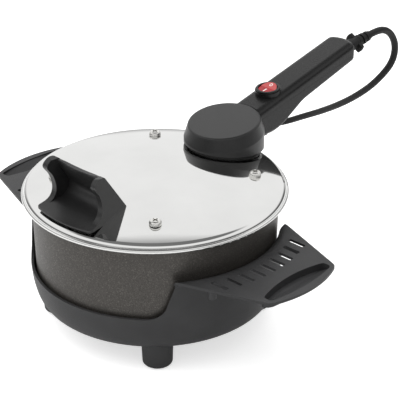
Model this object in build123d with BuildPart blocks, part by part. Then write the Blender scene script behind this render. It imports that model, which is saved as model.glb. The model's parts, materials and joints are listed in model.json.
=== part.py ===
from build123d import *
from math import acos, cos, pi, radians, sin, sqrt, tan
import os

os.makedirs("parts", exist_ok=True)

# Electric cooking pot: a pan stands in a four-footed stand with two wing handles, and is
# closed by a loose lid that holds the heating element. The lid carries a scooped front grip
# and, at the back, a round terminal housing with a long handle, a rocker switch and the lead.
# Sizes are in millimetres and heights are above the table. The pan's axis is x = y = 0 while
# the pieces are made, +Y points to the handle, and the wings lie along X. Each piece is moved
# by FRAME_SHIFT when it is written, so that the model's origin is under its middle.

# Stand
PAN_R = 108.4
WALL_R = PAN_R + 3.6
WALL_T = 2.4
STAND_UNDER_Z = 24.0
STAND_FLOOR_T = 3.0
BARREL_Z = 62.0
BARREL_IN = 10.7
FLOOR_HOLE_R = WALL_R - 46.0
RIM_LOW_Z = 56.0
STEP_LOW_X = WALL_R - 30.0
STEP_TOP_X = WALL_R - 21.0
STEP_LOW_FILLET = 14.0
SEAT_COUNT = 8
SEAT_H = 2.0
SEAT_R = WALL_R - 32.0
SEAT_L = 16.0
SEAT_W = 3.0

# Wing handles
WING_Z = 93.6
WING_CURL = 8.0
WING_TIP_X = WALL_R + 65.8
WING_CORNER_X = WING_TIP_X - 8.8
WING_CORNER_Y = 41.5
WING_ROOT_X = WALL_R - 27.0
WING_ROOT_Y = 71.5
WING_CORNER_RADIUS = 8.0
SLOT_COUNT = 9
SLOT_PITCH = 12.15
SLOT_W = 4.4
SLOT_INNER_R = WALL_R + 10.7
SLOT_OUTER_R = SLOT_INNER_R + 15.9
RIB_T = 2.2
RIB_DEPTH = 6.0
RIB_ROOT = 6.2
RIB_END_X = WING_TIP_X - 29.8
GROOVE_DEPTH = 6.5
GROOVE_HALF_L = 38.0
GROOVE_IN_X = WING_TIP_X - 25.3
GROOVE_OUT_X = WING_TIP_X - 6.4
GROOVE_END_IN_X = WING_TIP_X - 18.8
GROOVE_END_OUT_X = WING_TIP_X - 10.8
GROOVE_END_FILLET = 3.5
POST_D = 6.5
POST_H = 7.0
POST_X = WALL_R + 7.5
POST_Y = 55.4

# Feet
FOOT_PATH_R = WALL_R - 22.0
FOOT_BOTTOM_R = 13.0
FOOT_TOP_R = 14.0
FOOT_EDGE = 3.0
FOOT_WEB = 3.0
FOOT_CORE_R = 10.2
FIT = 0.05
PAD_R = 8.0
PAD_T = 2.0
PAD_PROUD = 0.8

# Pan
PAN_LOW_R = PAN_R - 1.4
PAN_T = 1.8
PAN_FLOOR_T = 2.6
PAN_CORNER = 15.0
PAN_RIM_Z = 120.6
PAN_RIM_R = PAN_R + 3.6
PAN_RIM_T = 1.6
SEAT_GAP = 0.3

# Lid
LID_TOP_Z = 129.0
LID_BAND_R = PAN_RIM_R + 2.4
LID_LIP_R = LID_BAND_R + 2.6
LID_LIP_Z = 121.2
LID_SHEET = 0.9
LIP_BEAD_R = 1.9
LID_SHOULDER = 2.6
COVER_PLAY = 3.4
COVER_R = PAN_R - PAN_T - COVER_PLAY
COVER_T = 1.0
COVER_FLOOR_Z = 110.0
COVER_FLANGE_R = LID_BAND_R - 2.0
COVER_CORNER = 6.0
REFLECTOR_INSET = 5.2
REFLECTOR_R = COVER_R - REFLECTOR_INSET
LID_SCREW_INSET = 10.7
LID_SCREW_PATH_R = REFLECTOR_R - LID_SCREW_INSET
LID_SCREW_D = 5.0
LID_SCREW_HEAD_D = 10.6
LID_SCREW_HEAD_H = 4.2
HOLE_PLAY = 0.25

# Heating element and what holds it
ELEMENT_D = 6.4
ELEMENT_INSET = 13.3
ELEMENT_OUTER_R = LID_SCREW_PATH_R - ELEMENT_INSET
ELEMENT_INNER_R = 46.0
ELEMENT_Z = 116.0
ELEMENT_BEND_ANGLE = 20.0
ELEMENT_END_ANGLE = 16.0
COLD_END_BEND = 9.0
COLD_END_TOP_Z = 138.0
COLD_HOLE_D = 12.4
REFLECTOR_T = 0.8
CLIP_ANGLES = (30, 150, 210, 330)
CLIP_W = 8.0
CLIP_T = 0.8
SPACER_D = 10.0
SPACER_NECK_D = 7.5

# Front grip
PLINTH_GAP = 2.8
PLINTH_INSET = 2.6
GRIP_FRONT_R = 111.5
GRIP_CLEAR_Y = -118.0
GRIP_BLOCK_H = 50.0
GRIP_LOW_FRONT_Z = 132.6
GRIP_CORNER = 3.0
GRIP_WALL = 5.0
GRIP_BOSS_D = 9.0
GRIP_FRONT_X = 33.4
GRIP_FRONT_Y = -106.4
GRIP_REAR_X = 24.8
GRIP_REAR_Y = -56.0
GRIP_CHEEK_T = 4.6
GRIP_RIDGE_Z = 175.0
GRIP_RIDGE_SAG = 3.6
GRIP_SCREW_X = 12.0
GRIP_SCREW_Y = -70.5
GRIP_SCREW_D = 4.0
GRIP_SCREW_HEAD_D = 7.4
GRIP_SCREW_HEAD_H = 2.2
SCREW_DEPTH = 14.0
SCREW_REACH = 13.0

# Terminal housing at the handle's root
HOUSING_Y = 89.1
HOUSING_R = 36.8
CAP_BREAK_Z = 146.0
CAP_RIM_Z = 135.1
CAP_RIM_TILT = 6.6
CAP_TOP_R = 33.2
CAP_TOP_Z = 158.0
CAP_TILT = 7.8
CAP_WALL = 2.4
CAP_EDGE = 2.0
CAP_PLAY = 0.4
RING_T = 1.8
RING_LAP = 2.5
ROOT_WEB_T = 2.0
ROOT_WEB_YS = (120.5, 136.0)
ROOT_WEB_TOP_Z = 147.0
HOUSING_SCREW_FRONT = 27.9
HOUSING_SCREW_X = 25.0
HOUSING_SCREW_BACK = 12.0
EARTH_SCREW_BACK = 18.6

# Handle
ARM_HALF_W = 16.2
ARM_ROOT_Y = 116.0
ARM_FAR_Y = 275.0
ARM_END_Y = 260.5
ARM_END_BULGE = 5.0
ARM_END_CORNER = 7.0
SEAM_Y = 124.4
SEAM_Z = 152.8
SEAM_TILT = 10.4
ARM_TOP_START = 9.4
ARM_TOP_END = 12.8
ARM_TOP_FILLET = 6.4
ARM_LOW_FILLET = 4.0
ARM_BELLY_Y = 150.0
ARM_BELLY_Z = 134.0
ARM_BELLY_FILLET = 50.0
ARM_ROOT_DROP = 0.6
ARM_WAIST_Y = 183.8
ARM_WAIST_Z = 152.4
ARM_WAIST_FILLET = 45.0
ARM_TAIL_Y = 258.0
ARM_TAIL_Z = 170.6
ARM_WALL = 2.4
SEAM_GAP = 0.15
SHELL_SCREW_D = 3.0
SHELL_SCREW_HEAD_D = 5.6
SHELL_SCREW_HEAD_H = 2.0
SHELL_BOSS_D = 6.6
SHELL_SCREW_YS = (176.0, 204.0, 230.0)
SHELL_SCREW_SEAT = 4.0
SHELL_SCREW_REACH = 5.5

# Rocker switch
SWITCH_Y = 149.4
SWITCH_TOP_Z = 170.6
SWITCH_TILT = 6.0
SWITCH_BOSS_D = 24.6
SWITCH_BEZEL_D = 23.0
SWITCH_BEZEL_T = 1.6
SWITCH_BORE_D = 18.4
ROCKER_D = 17.2
ROCKER_SWING = 8.0
ROCKER_PIVOT_DEPTH = 3.0
SWITCH_BODY_D = 20.2
SWITCH_SKIRT_H = 8.0
SWITCH_BODY_H = 8.0
ROCKER_HALF_H = 3.2
PIVOT_D = 2.0

# Lead
CORD_D = 7.2
GLAND_Y = 259.0
GLAND_Z = 177.6
GLAND_TILT = 5.0
GLAND_NECK_D = 14.0
GLAND_FLANGE_D = 20.5
GLAND_FLANGE_W = 9.0
GLAND_FLANGE_TURN = 35.0
GLAND_FLANGE_T = 4.4
GLAND_FLANGE_AT = 20.3
GLAND_NECK_AT = 7.4
GLAND_STUB_D = 9.2
GLAND_COLLAR_D = 10.4
GLAND_COLLAR_AT = 0.9
GLAND_COLLAR_T = 2.0
GLAND_HOLE_L = 12.0
BOOT_D = 12.4
BOOT_END_D = 9.6
BOOT_LENGTH = 20.0
SHEATH_END = -15.0
BOOT_RIBS = 3

FLOOR_TOP_Z = STAND_UNDER_Z + STAND_FLOOR_T
WALL_IN_R = WALL_R - WALL_T
PAN_UNDER_Z = FLOOR_TOP_Z + SEAT_H + SEAT_GAP
LID_UNDER_Z = LID_TOP_Z - LID_SHEET
PLINTH_TOP_Z = LID_TOP_Z + PLINTH_GAP
COVER_FLANGE_Z = PAN_RIM_Z + SEAT_GAP

# The boot's end and the lid's lip are the furthest points along the handle.
GLAND_DIR = Vector(0, cos(radians(GLAND_TILT)), sin(radians(GLAND_TILT)))
GLAND_PLANE = Plane(origin=(0, GLAND_Y, GLAND_Z), x_dir=(1, 0, 0), z_dir=GLAND_DIR)
BOOT_START = GLAND_FLANGE_AT + GLAND_FLANGE_T
BOOT_END = BOOT_START + BOOT_LENGTH
CORD_EXIT = Vector(0, GLAND_Y, GLAND_Z) + GLAND_DIR * BOOT_END
BOOT_LOW = BOOT_END_D / 2 * sin(radians(GLAND_TILT))
ORIGIN_Y = (CORD_EXIT.Y + BOOT_LOW - LID_LIP_R) / 2
FRAME_SHIFT = Location((0, -ORIGIN_Y, 0))


def save(piece, name):
    """Move a finished piece into the model's frame, label it and write it."""
    placed = piece.part.moved(FRAME_SHIFT)
    placed.label = name
    export_step(placed, f"parts/{name}.step")


def at_angle(radius, angle):
    """The point on a circle about the pan's axis, with the angle counted from +X."""
    return (radius * cos(radians(angle)), radius * sin(radians(angle)))


# Stand: the wing plate has its outline in plan, and curls down into the cradle's wall.
def wing_outline():
    """One wing handle in plan, on the +X side."""
    with BuildSketch() as outline:
        with BuildLine():
            tip = ThreePointArc(
                (WING_CORNER_X, -WING_CORNER_Y), (WING_TIP_X, 0), (WING_CORNER_X, WING_CORNER_Y)
            )
            Polyline(tip @ 1, (WING_ROOT_X, WING_ROOT_Y), (WING_ROOT_X, -WING_ROOT_Y), tip @ 0)
        make_face()
        fillet(outline.vertices().group_by(Axis.X)[-1], WING_CORNER_RADIUS)
    return outline.sketch


def thumb_groove(skin):
    """The hollow of the thumb groove, or with a skin thickness the bulge under it."""
    with BuildPart() as groove:
        with BuildSketch(Plane.XY.offset(WING_Z - GROOVE_DEPTH - skin)) as plan:
            with BuildLine():
                inner = ThreePointArc(
                    (GROOVE_END_IN_X, -GROOVE_HALF_L), (GROOVE_IN_X, 0), (GROOVE_END_IN_X, GROOVE_HALF_L)
                )
                outer = ThreePointArc(
                    (GROOVE_END_OUT_X, GROOVE_HALF_L),
                    (GROOVE_OUT_X, 0),
                    (GROOVE_END_OUT_X, -GROOVE_HALF_L),
                )
                Line(inner @ 1, outer @ 0)
                Line(outer @ 1, inner @ 0)
            make_face()
            fillet(plan.vertices(), GROOVE_END_FILLET)
            if skin:
                offset(amount=skin)
        extrude(amount=GROOVE_DEPTH + skin)
        with BuildSketch(Plane.XZ):
            with BuildLine():
                Polyline(
                    (GROOVE_IN_X - skin, WING_Z + skin),
                    (GROOVE_IN_X - skin, WING_Z - GROOVE_DEPTH - skin),
                    (GROOVE_IN_X + GROOVE_DEPTH, WING_Z - GROOVE_DEPTH - skin),
                    (GROOVE_OUT_X + skin, WING_Z - 1 - skin),
                    (GROOVE_OUT_X + skin, WING_Z + skin),
                    close=True,
                )
            make_face()
        extrude(amount=GROOVE_HALF_L + 2 * skin + 1, both=True, mode=Mode.INTERSECT)
    return groove.part


with BuildPart() as curl:
    with BuildSketch(Plane.XZ):
        with BuildLine():
            bend_x = WALL_IN_R + WING_CURL
            bend_z = WING_Z - WING_CURL
            inside = CenterArc((bend_x, bend_z), WING_CURL, 180, -90)
            outside = CenterArc((bend_x, bend_z), WING_CURL - WALL_T, 90, 90)
            Line(inside @ 1, outside @ 0)
            Line(outside @ 1, inside @ 0)
        make_face()
    revolve(axis=Axis.Z)
    with BuildSketch(Plane.XY.offset(bend_z)):
        add(wing_outline())
    extrude(amount=WING_CURL, mode=Mode.INTERSECT)

with BuildPart() as wing:
    with BuildSketch(Plane.XY.offset(WING_Z - WALL_T)):
        add(wing_outline())
        Circle(bend_x, mode=Mode.SUBTRACT)
    extrude(amount=WALL_T)
    add(curl.part)
    add(thumb_groove(WALL_T - 0.4))
    add(thumb_groove(0), mode=Mode.SUBTRACT)
    for row in range(SLOT_COUNT):
        slot_y = (row - (SLOT_COUNT - 1) / 2) * SLOT_PITCH
        slot_in = sqrt(SLOT_INNER_R**2 - slot_y**2)
        slot_out = sqrt(SLOT_OUTER_R**2 - slot_y**2)
        with BuildSketch(Plane.XY.offset(WING_Z - WALL_T)):
            with Locations(((slot_in + slot_out) / 2, slot_y)):
                RectangleRounded(slot_out - slot_in, SLOT_W, SLOT_W / 4)
        extrude(amount=WALL_T, mode=Mode.SUBTRACT)
    for rib_side in (1, -1):
        rib_y = rib_side * SLOT_PITCH * (SLOT_COUNT - 2) / 2
        with BuildSketch(Plane.XZ.offset(-rib_y)):
            with BuildLine():
                top = Line((WALL_R - RIB_ROOT, WING_Z - WALL_T), (RIB_END_X, WING_Z - WALL_T))
                end = Line(top @ 1, (RIB_END_X - RIB_DEPTH, WING_Z - WALL_T - RIB_DEPTH))
                foot = Line(end @ 1, (WALL_R - RIB_ROOT, WING_Z - WALL_T - 2 * RIB_DEPTH))
                Line(foot @ 1, top @ 0)
            make_face()
        extrude(amount=RIB_T / 2, both=True)

with BuildPart() as stand:
    with BuildSketch(Plane.XZ):
        with BuildLine():
            Line((FLOOR_HOLE_R, STAND_UNDER_Z), (WALL_R - BARREL_IN, STAND_UNDER_Z))
            EllipticalCenterArc(
                (WALL_R - BARREL_IN, BARREL_Z), BARREL_IN, BARREL_Z - STAND_UNDER_Z, 270, arc_size=90
            )
            Polyline((WALL_R, BARREL_Z), (WALL_R, bend_z), (WALL_IN_R, bend_z), (WALL_IN_R, BARREL_Z))
            EllipticalCenterArc(
                (WALL_IN_R - BARREL_IN, BARREL_Z), BARREL_IN, BARREL_Z - FLOOR_TOP_Z, 0, arc_size=-90
            )
            Polyline(
                (WALL_IN_R - BARREL_IN, FLOOR_TOP_Z),
                (FLOOR_HOLE_R, FLOOR_TOP_Z),
                (FLOOR_HOLE_R, STAND_UNDER_Z),
            )
        make_face()
    revolve(axis=Axis.Z)
    add(wing.part)
    mirror(wing.part, about=Plane.YZ)
    with Locations((POST_X, -POST_Y, WING_Z - WALL_T), (-POST_X, POST_Y, WING_Z - WALL_T)):
        Cylinder(POST_D / 2, POST_H, align=(Align.CENTER, Align.CENTER, Align.MAX))
    with Locations((0, 0, BARREL_Z)):
        Cylinder(
            WALL_IN_R, bend_z - BARREL_Z, align=(Align.CENTER, Align.CENTER, Align.MIN), mode=Mode.SUBTRACT
        )
    # The wall dips at the front and at the back, between the wings.
    with BuildSketch(Plane.XZ) as dip:
        with BuildLine():
            Polyline(
                (-STEP_TOP_X, WING_Z),
                (-STEP_LOW_X, RIM_LOW_Z),
                (STEP_LOW_X, RIM_LOW_Z),
                (STEP_TOP_X, WING_Z),
                (STEP_TOP_X, WING_Z + WALL_T),
                (-STEP_TOP_X, WING_Z + WALL_T),
                close=True,
            )
        make_face()
        fillet(dip.vertices().group_by(Axis.Y)[0], STEP_LOW_FILLET)
    extrude(amount=2 * WALL_R, both=True, mode=Mode.SUBTRACT)
    # Four feet, each with a recess for its pad.
    for corner in range(4):
        foot_xy = at_angle(FOOT_PATH_R, 45 + 90 * corner)
        with BuildSketch(Plane.XY.offset(PAD_PROUD)):
            with Locations(foot_xy):
                Circle(FOOT_BOTTOM_R)
        with BuildSketch(Plane.XY.offset(FLOOR_TOP_Z)):
            with Locations(foot_xy):
                Circle(FOOT_TOP_R)
        loft()
    fillet(stand.faces().sort_by(Axis.Z)[:4].edges(), FOOT_EDGE)
    with PolarLocations(FOOT_PATH_R, 4, start_angle=45):
        with Locations((0, 0, PAD_PROUD)):
            Cylinder(
                PAD_R + FIT,
                PAD_T - PAD_PROUD,
                align=(Align.CENTER, Align.CENTER, Align.MIN),
                mode=Mode.SUBTRACT,
            )
        with Locations((0, 0, PAD_T + FOOT_WEB)):
            Cylinder(
                FOOT_CORE_R,
                FLOOR_TOP_Z + 1 - PAD_T - FOOT_WEB,
                align=(Align.CENTER, Align.CENTER, Align.MIN),
                mode=Mode.SUBTRACT,
            )
    # Low radial ribs carry the pan.
    with PolarLocations(SEAT_R, SEAT_COUNT, start_angle=180 / SEAT_COUNT):
        with Locations((0, 0, FLOOR_TOP_Z)):
            Box(SEAT_L, SEAT_W, SEAT_H, align=(Align.CENTER, Align.CENTER, Align.MIN))
save(stand, "stand")

with BuildPart() as foot_pads:
    with PolarLocations(FOOT_PATH_R, 4, start_angle=45):
        Cylinder(PAD_R, PAD_T, align=(Align.CENTER, Align.CENTER, Align.MIN))
save(foot_pads, "foot_pads")

# Pan: a drawn vessel with a flat rim
with BuildPart() as pan:
    with BuildSketch(Plane.XZ) as vessel:
        with BuildLine():
            Polyline(
                (0, PAN_UNDER_Z),
                (PAN_LOW_R, PAN_UNDER_Z),
                (PAN_R, PAN_RIM_Z - PAN_RIM_T),
                (PAN_RIM_R, PAN_RIM_Z - PAN_RIM_T),
                (PAN_RIM_R, PAN_RIM_Z),
                (PAN_R - PAN_T, PAN_RIM_Z),
                (PAN_LOW_R - PAN_T, PAN_UNDER_Z + PAN_FLOOR_T),
                (0, PAN_UNDER_Z + PAN_FLOOR_T),
                close=True,
            )
        make_face()
        fillet(vessel.vertices().sort_by_distance((PAN_LOW_R, PAN_UNDER_Z))[0], PAN_CORNER)
        fillet(
            vessel.vertices().sort_by_distance((PAN_LOW_R - PAN_T, PAN_UNDER_Z + PAN_FLOOR_T))[0],
            PAN_CORNER - PAN_T,
        )
        fillet(vessel.vertices().sort_by_distance((PAN_R - PAN_T, PAN_RIM_Z))[0], PAN_RIM_T)
    revolve(axis=Axis.Z)
save(pan, "pan")

# Lid: where its screws, its element ends and its fittings go through
CAP_PLANE = Plane(
    origin=(0, HOUSING_Y, CAP_TOP_Z),
    x_dir=(1, 0, 0),
    z_dir=(0, -sin(radians(CAP_TILT)), cos(radians(CAP_TILT))),
)
LID_SCREW_AT = [at_angle(LID_SCREW_PATH_R, 45 + 90 * corner) for corner in range(4)]
GRIP_SCREW_AT = [(GRIP_SCREW_X, GRIP_SCREW_Y), (-GRIP_SCREW_X, GRIP_SCREW_Y)]
HOUSING_SCREW_AT = [
    (0, HOUSING_Y - HOUSING_SCREW_FRONT),
    (HOUSING_SCREW_X, HOUSING_Y + HOUSING_SCREW_BACK),
    (-HOUSING_SCREW_X, HOUSING_Y + HOUSING_SCREW_BACK),
]
COLD_END_ANGLE = 90 - ELEMENT_END_ANGLE
element_end = Vector(*at_angle(ELEMENT_OUTER_R, COLD_END_ANGLE), ELEMENT_Z)
cold_end_dir = Vector(-sin(radians(COLD_END_ANGLE)), cos(radians(COLD_END_ANGLE)), 0)
cold_end_foot = element_end + cold_end_dir * COLD_END_BEND
COLD_END_AT = [(cold_end_foot.X, cold_end_foot.Y), (-cold_end_foot.X, cold_end_foot.Y)]
EARTH_SCREW_AT = [(0, HOUSING_Y + EARTH_SCREW_BACK)]


def drill(places, diameter, low, high):
    """Drill round holes down the Z axis between two heights in the part being built."""
    with Locations(*[(x, y, low) for x, y in places]):
        Cylinder(
            diameter / 2,
            high - low,
            align=(Align.CENTER, Align.CENTER, Align.MIN),
            mode=Mode.SUBTRACT,
        )


def screw(place, seat, diameter, length, head_d, head_h, upward=False):
    """A pan-head screw with a cross recess: its head sits on the seat height."""
    turn = 180 if upward else 0
    with BuildPart() as part:
        Cylinder(head_d / 2, head_h, align=(Align.CENTER, Align.CENTER, Align.MIN))
        fillet(part.edges().group_by(Axis.Z)[-1], head_h * 0.6)
        for arm in (0, 90):
            with Locations(Location((0, 0, head_h * 0.35), (0, 0, arm))):
                Box(
                    head_d * 0.5,
                    head_d * 0.13,
                    head_h,
                    align=(Align.CENTER, Align.CENTER, Align.MIN),
                    mode=Mode.SUBTRACT,
                )
        Cylinder(diameter / 2, length, align=(Align.CENTER, Align.CENTER, Align.MAX))
    return part.part.moved(Location((place[0], place[1], seat), (turn, 0, 0)))


with BuildPart() as lid_shell:
    with BuildSketch(Plane.XZ):
        with BuildLine():
            FilletPolyline(
                (0, LID_TOP_Z - LID_SHEET / 2),
                (LID_BAND_R, LID_TOP_Z - LID_SHEET / 2),
                (LID_LIP_R - LIP_BEAD_R - 0.3, LID_LIP_Z + LIP_BEAD_R),
                radius=LID_SHOULDER - LID_SHEET / 2,
            )
        trace(line_width=LID_SHEET)
        with Locations((LID_LIP_R - LIP_BEAD_R, LID_LIP_Z + LIP_BEAD_R)):
            Circle(LIP_BEAD_R)
        with Locations((0, LID_TOP_Z - LID_SHEET / 2)):
            Rectangle(2 * LID_SHEET, 2 * LID_SHEET, align=(Align.MAX, Align.CENTER), mode=Mode.SUBTRACT)
    revolve(axis=Axis.Z)
    drill(LID_SCREW_AT, LID_SCREW_D + 2 * HOLE_PLAY, LID_UNDER_Z, LID_TOP_Z)
    drill(GRIP_SCREW_AT + HOUSING_SCREW_AT, GRIP_SCREW_D + 2 * HOLE_PLAY, LID_UNDER_Z, LID_TOP_Z)
    drill(COLD_END_AT, ELEMENT_D + 2 * HOLE_PLAY, LID_UNDER_Z, LID_TOP_Z)
    drill(EARTH_SCREW_AT, SHELL_SCREW_D + 2 * FIT, LID_UNDER_Z, LID_TOP_Z)
save(lid_shell, "lid_shell")

with BuildPart() as inner_cover:
    with BuildSketch(Plane.XZ):
        with BuildLine():
            FilletPolyline(
                (0, COVER_FLOOR_Z + COVER_T / 2),
                (COVER_R - COVER_T / 2, COVER_FLOOR_Z + COVER_T / 2),
                (COVER_R - COVER_T / 2, COVER_FLANGE_Z + COVER_T / 2),
                (COVER_FLANGE_R, COVER_FLANGE_Z + COVER_T / 2),
                radius=[COVER_CORNER, 1.5],
            )
        trace(line_width=COVER_T)
    revolve(axis=Axis.Z)
    drill(LID_SCREW_AT, LID_SCREW_D + 2 * HOLE_PLAY, COVER_FLOOR_Z, COVER_FLOOR_Z + COVER_T)
save(inner_cover, "inner_cover")

# Hidden in the lid: reflector, insulation, element, clips, spacers, screws and nuts
reflector_z = ELEMENT_Z + ELEMENT_D / 2 + CLIP_T
insulation_z = reflector_z + REFLECTOR_T
spacer_z = COVER_FLOOR_Z + COVER_T
with BuildPart() as reflector_plate:
    with Locations((0, 0, reflector_z)):
        Cylinder(REFLECTOR_R, REFLECTOR_T, align=(Align.CENTER, Align.CENTER, Align.MIN))
    drill(LID_SCREW_AT, SPACER_NECK_D + 2 * FIT, reflector_z, insulation_z)
    drill(COLD_END_AT, COLD_HOLE_D, reflector_z, insulation_z)
save(reflector_plate, "reflector_plate")

with BuildPart() as insulation_disc:
    with Locations((0, 0, insulation_z)):
        Cylinder(
            REFLECTOR_R, LID_UNDER_Z - insulation_z, align=(Align.CENTER, Align.CENTER, Align.MIN)
        )
    drill(LID_SCREW_AT, SPACER_NECK_D + 2 * HOLE_PLAY, insulation_z, LID_UNDER_Z)
    drill(COLD_END_AT, COLD_HOLE_D, insulation_z, LID_UNDER_Z)
    drill(
        GRIP_SCREW_AT + HOUSING_SCREW_AT,
        GRIP_SCREW_HEAD_D + 2 * HOLE_PLAY,
        LID_UNDER_Z - GRIP_SCREW_HEAD_H - HOLE_PLAY,
        LID_UNDER_Z,
    )
save(insulation_disc, "insulation_disc")

ring_gap = (ELEMENT_OUTER_R - ELEMENT_INNER_R) / 2
bend_angle = -90 + ELEMENT_BEND_ANGLE
ring_mid = (ELEMENT_OUTER_R + ELEMENT_INNER_R) / 2
with BuildPart() as heating_element:
    with BuildLine() as element_path:
        right_end = cold_end_foot + Vector(0, 0, COLD_END_BEND)
        Line((right_end.X, right_end.Y, COLD_END_TOP_Z), right_end)
        TangentArc(right_end, element_end, tangent=(0, 0, -1))
        CenterArc((0, 0, ELEMENT_Z), ELEMENT_OUTER_R, COLD_END_ANGLE, bend_angle - COLD_END_ANGLE)
        bend_middle = Vector(*at_angle(ring_mid, bend_angle), ELEMENT_Z)
        CenterArc(bend_middle, ring_gap, bend_angle, -180)
        CenterArc((0, 0, ELEMENT_Z), ELEMENT_INNER_R, bend_angle, 360 - 2 * ELEMENT_BEND_ANGLE)
        far_middle = Vector(-bend_middle.X, bend_middle.Y, ELEMENT_Z)
        CenterArc(far_middle, ring_gap, 180 - bend_angle + 180, -180)
        CenterArc((0, 0, ELEMENT_Z), ELEMENT_OUTER_R, 180 - bend_angle, bend_angle - COLD_END_ANGLE)
        left_end = Vector(-right_end.X, right_end.Y, right_end.Z)
        TangentArc(
            (-element_end.X, element_end.Y, ELEMENT_Z),
            left_end,
            tangent=(-cold_end_dir.X, cold_end_dir.Y, 0),
        )
        Line(left_end, (left_end.X, left_end.Y, COLD_END_TOP_Z))
    with BuildSketch(Plane(origin=(right_end.X, right_end.Y, COLD_END_TOP_Z), z_dir=(0, 0, -1))):
        Circle(ELEMENT_D / 2)
    sweep()
save(heating_element, "heating_element")

with BuildPart() as element_clips:
    clip_r = ELEMENT_D / 2 + 4 * FIT
    for clip_angle in CLIP_ANGLES:
        clip_plane = Plane(
            origin=(0, 0, 0),
            x_dir=(*at_angle(1, clip_angle), 0),
            z_dir=(*at_angle(1, clip_angle - 90), 0),
        )
        with BuildSketch(clip_plane):
            with Locations((ELEMENT_OUTER_R, ELEMENT_Z)):
                Circle(clip_r + CLIP_T)
                Rectangle(
                    2 * (clip_r + CLIP_T), reflector_z - ELEMENT_Z, align=(Align.CENTER, Align.MIN)
                )
            with Locations((ELEMENT_OUTER_R, reflector_z)):
                Rectangle(2 * clip_r + 10, CLIP_T, align=(Align.CENTER, Align.MAX))
            with Locations((ELEMENT_OUTER_R, ELEMENT_Z)):
                Circle(clip_r, mode=Mode.SUBTRACT)
                Rectangle(2 * clip_r, 2 * clip_r, align=(Align.CENTER, Align.MIN), mode=Mode.SUBTRACT)
        extrude(amount=CLIP_W / 2, both=True)
save(element_clips, "element_clips")

with BuildPart() as lid_spacers:
    for place in LID_SCREW_AT:
        with Locations((*place, spacer_z)):
            Cylinder(
                SPACER_D / 2, reflector_z - spacer_z, align=(Align.CENTER, Align.CENTER, Align.MIN)
            )
            Cylinder(
                SPACER_NECK_D / 2, LID_UNDER_Z - spacer_z, align=(Align.CENTER, Align.CENTER, Align.MIN)
            )
    drill(LID_SCREW_AT, LID_SCREW_D + 2 * HOLE_PLAY, spacer_z, LID_UNDER_Z)
save(lid_spacers, "lid_spacers")

NUT_FLATS = 8.0
NUT_H = 4.4
NUT_CROWN = 1.2
with BuildPart() as lid_nuts:
    for place in LID_SCREW_AT:
        with BuildSketch(Plane.XY.offset(COVER_FLOOR_Z)):
            with Locations(place):
                RegularPolygon(NUT_FLATS / 2, 6, major_radius=False)
        extrude(amount=-NUT_H)
        fillet_at = lid_nuts.solids().sort_by_distance((*place, COVER_FLOOR_Z))[0]
        chamfer(fillet_at.faces().sort_by(Axis.Z)[0].edges(), 0.6)
    drill(LID_SCREW_AT, LID_SCREW_D + 2 * FIT, COVER_FLOOR_Z - NUT_H + NUT_CROWN, COVER_FLOOR_Z)
save(lid_nuts, "lid_nuts")

with BuildPart() as lid_screws:
    for place in LID_SCREW_AT:
        add(
            screw(
                place,
                LID_TOP_Z,
                LID_SCREW_D,
                LID_TOP_Z - COVER_FLOOR_Z + NUT_H - NUT_CROWN - HOLE_PLAY,
                LID_SCREW_HEAD_D,
                LID_SCREW_HEAD_H,
            )
        )
save(lid_screws, "lid_screws")

# Front grip: a block with a slanted back, scooped at the front between two cheeks
BACK_TOP = (-85.8, 172.5)
BACK_FOOT = (GRIP_REAR_Y, PLINTH_TOP_Z)
GRIP_LOW_FRONT = (GRIP_CLEAR_Y, GRIP_LOW_FRONT_Z)
SCOOP_CURVE = [
    (-88.6, 172.8),
    (-86.6, 167.0),
    (-80.6, 156.0),
    (-78.0, 148.4),
    (-82.2, 140.6),
    (-93.1, 137.2),
    (-106.5, 133.6),
]
CHEEK_CURVE = [
    (-90.7, 175.0),
    (-96.4, 172.6),
    (-99.1, 168.5),
    (-95.6, 162.0),
    (-92.2, 154.5),
    (-91.2, 146.0),
    (-93.6, 139.6),
    (-102.6, 134.4),
]
GRIP_POCKET = [
    (-96, PLINTH_TOP_Z),
    (-92.5, 134.6),
    (-81, 137.4),
    (-75.2, 143),
    (-75, 149),
    (-72, 149),
    (-59.2, PLINTH_TOP_Z),
]


def grip_outline(inset):
    """The grip in plan, drawn in by an inset on all sides."""
    with BuildSketch() as outline:
        with BuildLine():
            front = ThreePointArc(
                (-GRIP_FRONT_X, GRIP_FRONT_Y), (0, -GRIP_FRONT_R), (GRIP_FRONT_X, GRIP_FRONT_Y)
            )
            Polyline(front @ 1, (GRIP_REAR_X, GRIP_REAR_Y), (-GRIP_REAR_X, GRIP_REAR_Y), front @ 0)
        make_face()
        fillet(outline.vertices(), GRIP_CORNER)
        if inset:
            offset(amount=-inset)
    return outline.sketch


with BuildPart() as scooped:
    with BuildSketch(Plane.XY.offset(PLINTH_TOP_Z)):
        add(grip_outline(0))
    extrude(amount=GRIP_BLOCK_H)
    with BuildSketch(Plane.YZ) as profile:
        with BuildLine():
            Line((GRIP_CLEAR_Y, PLINTH_TOP_Z), BACK_FOOT)
            Line(BACK_FOOT, BACK_TOP)
            Spline(BACK_TOP, *SCOOP_CURVE, GRIP_LOW_FRONT)
            Line(GRIP_LOW_FRONT, (GRIP_CLEAR_Y, PLINTH_TOP_Z))
        make_face()
    extrude(amount=2 * GRIP_FRONT_X, both=True, mode=Mode.INTERSECT)

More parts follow.
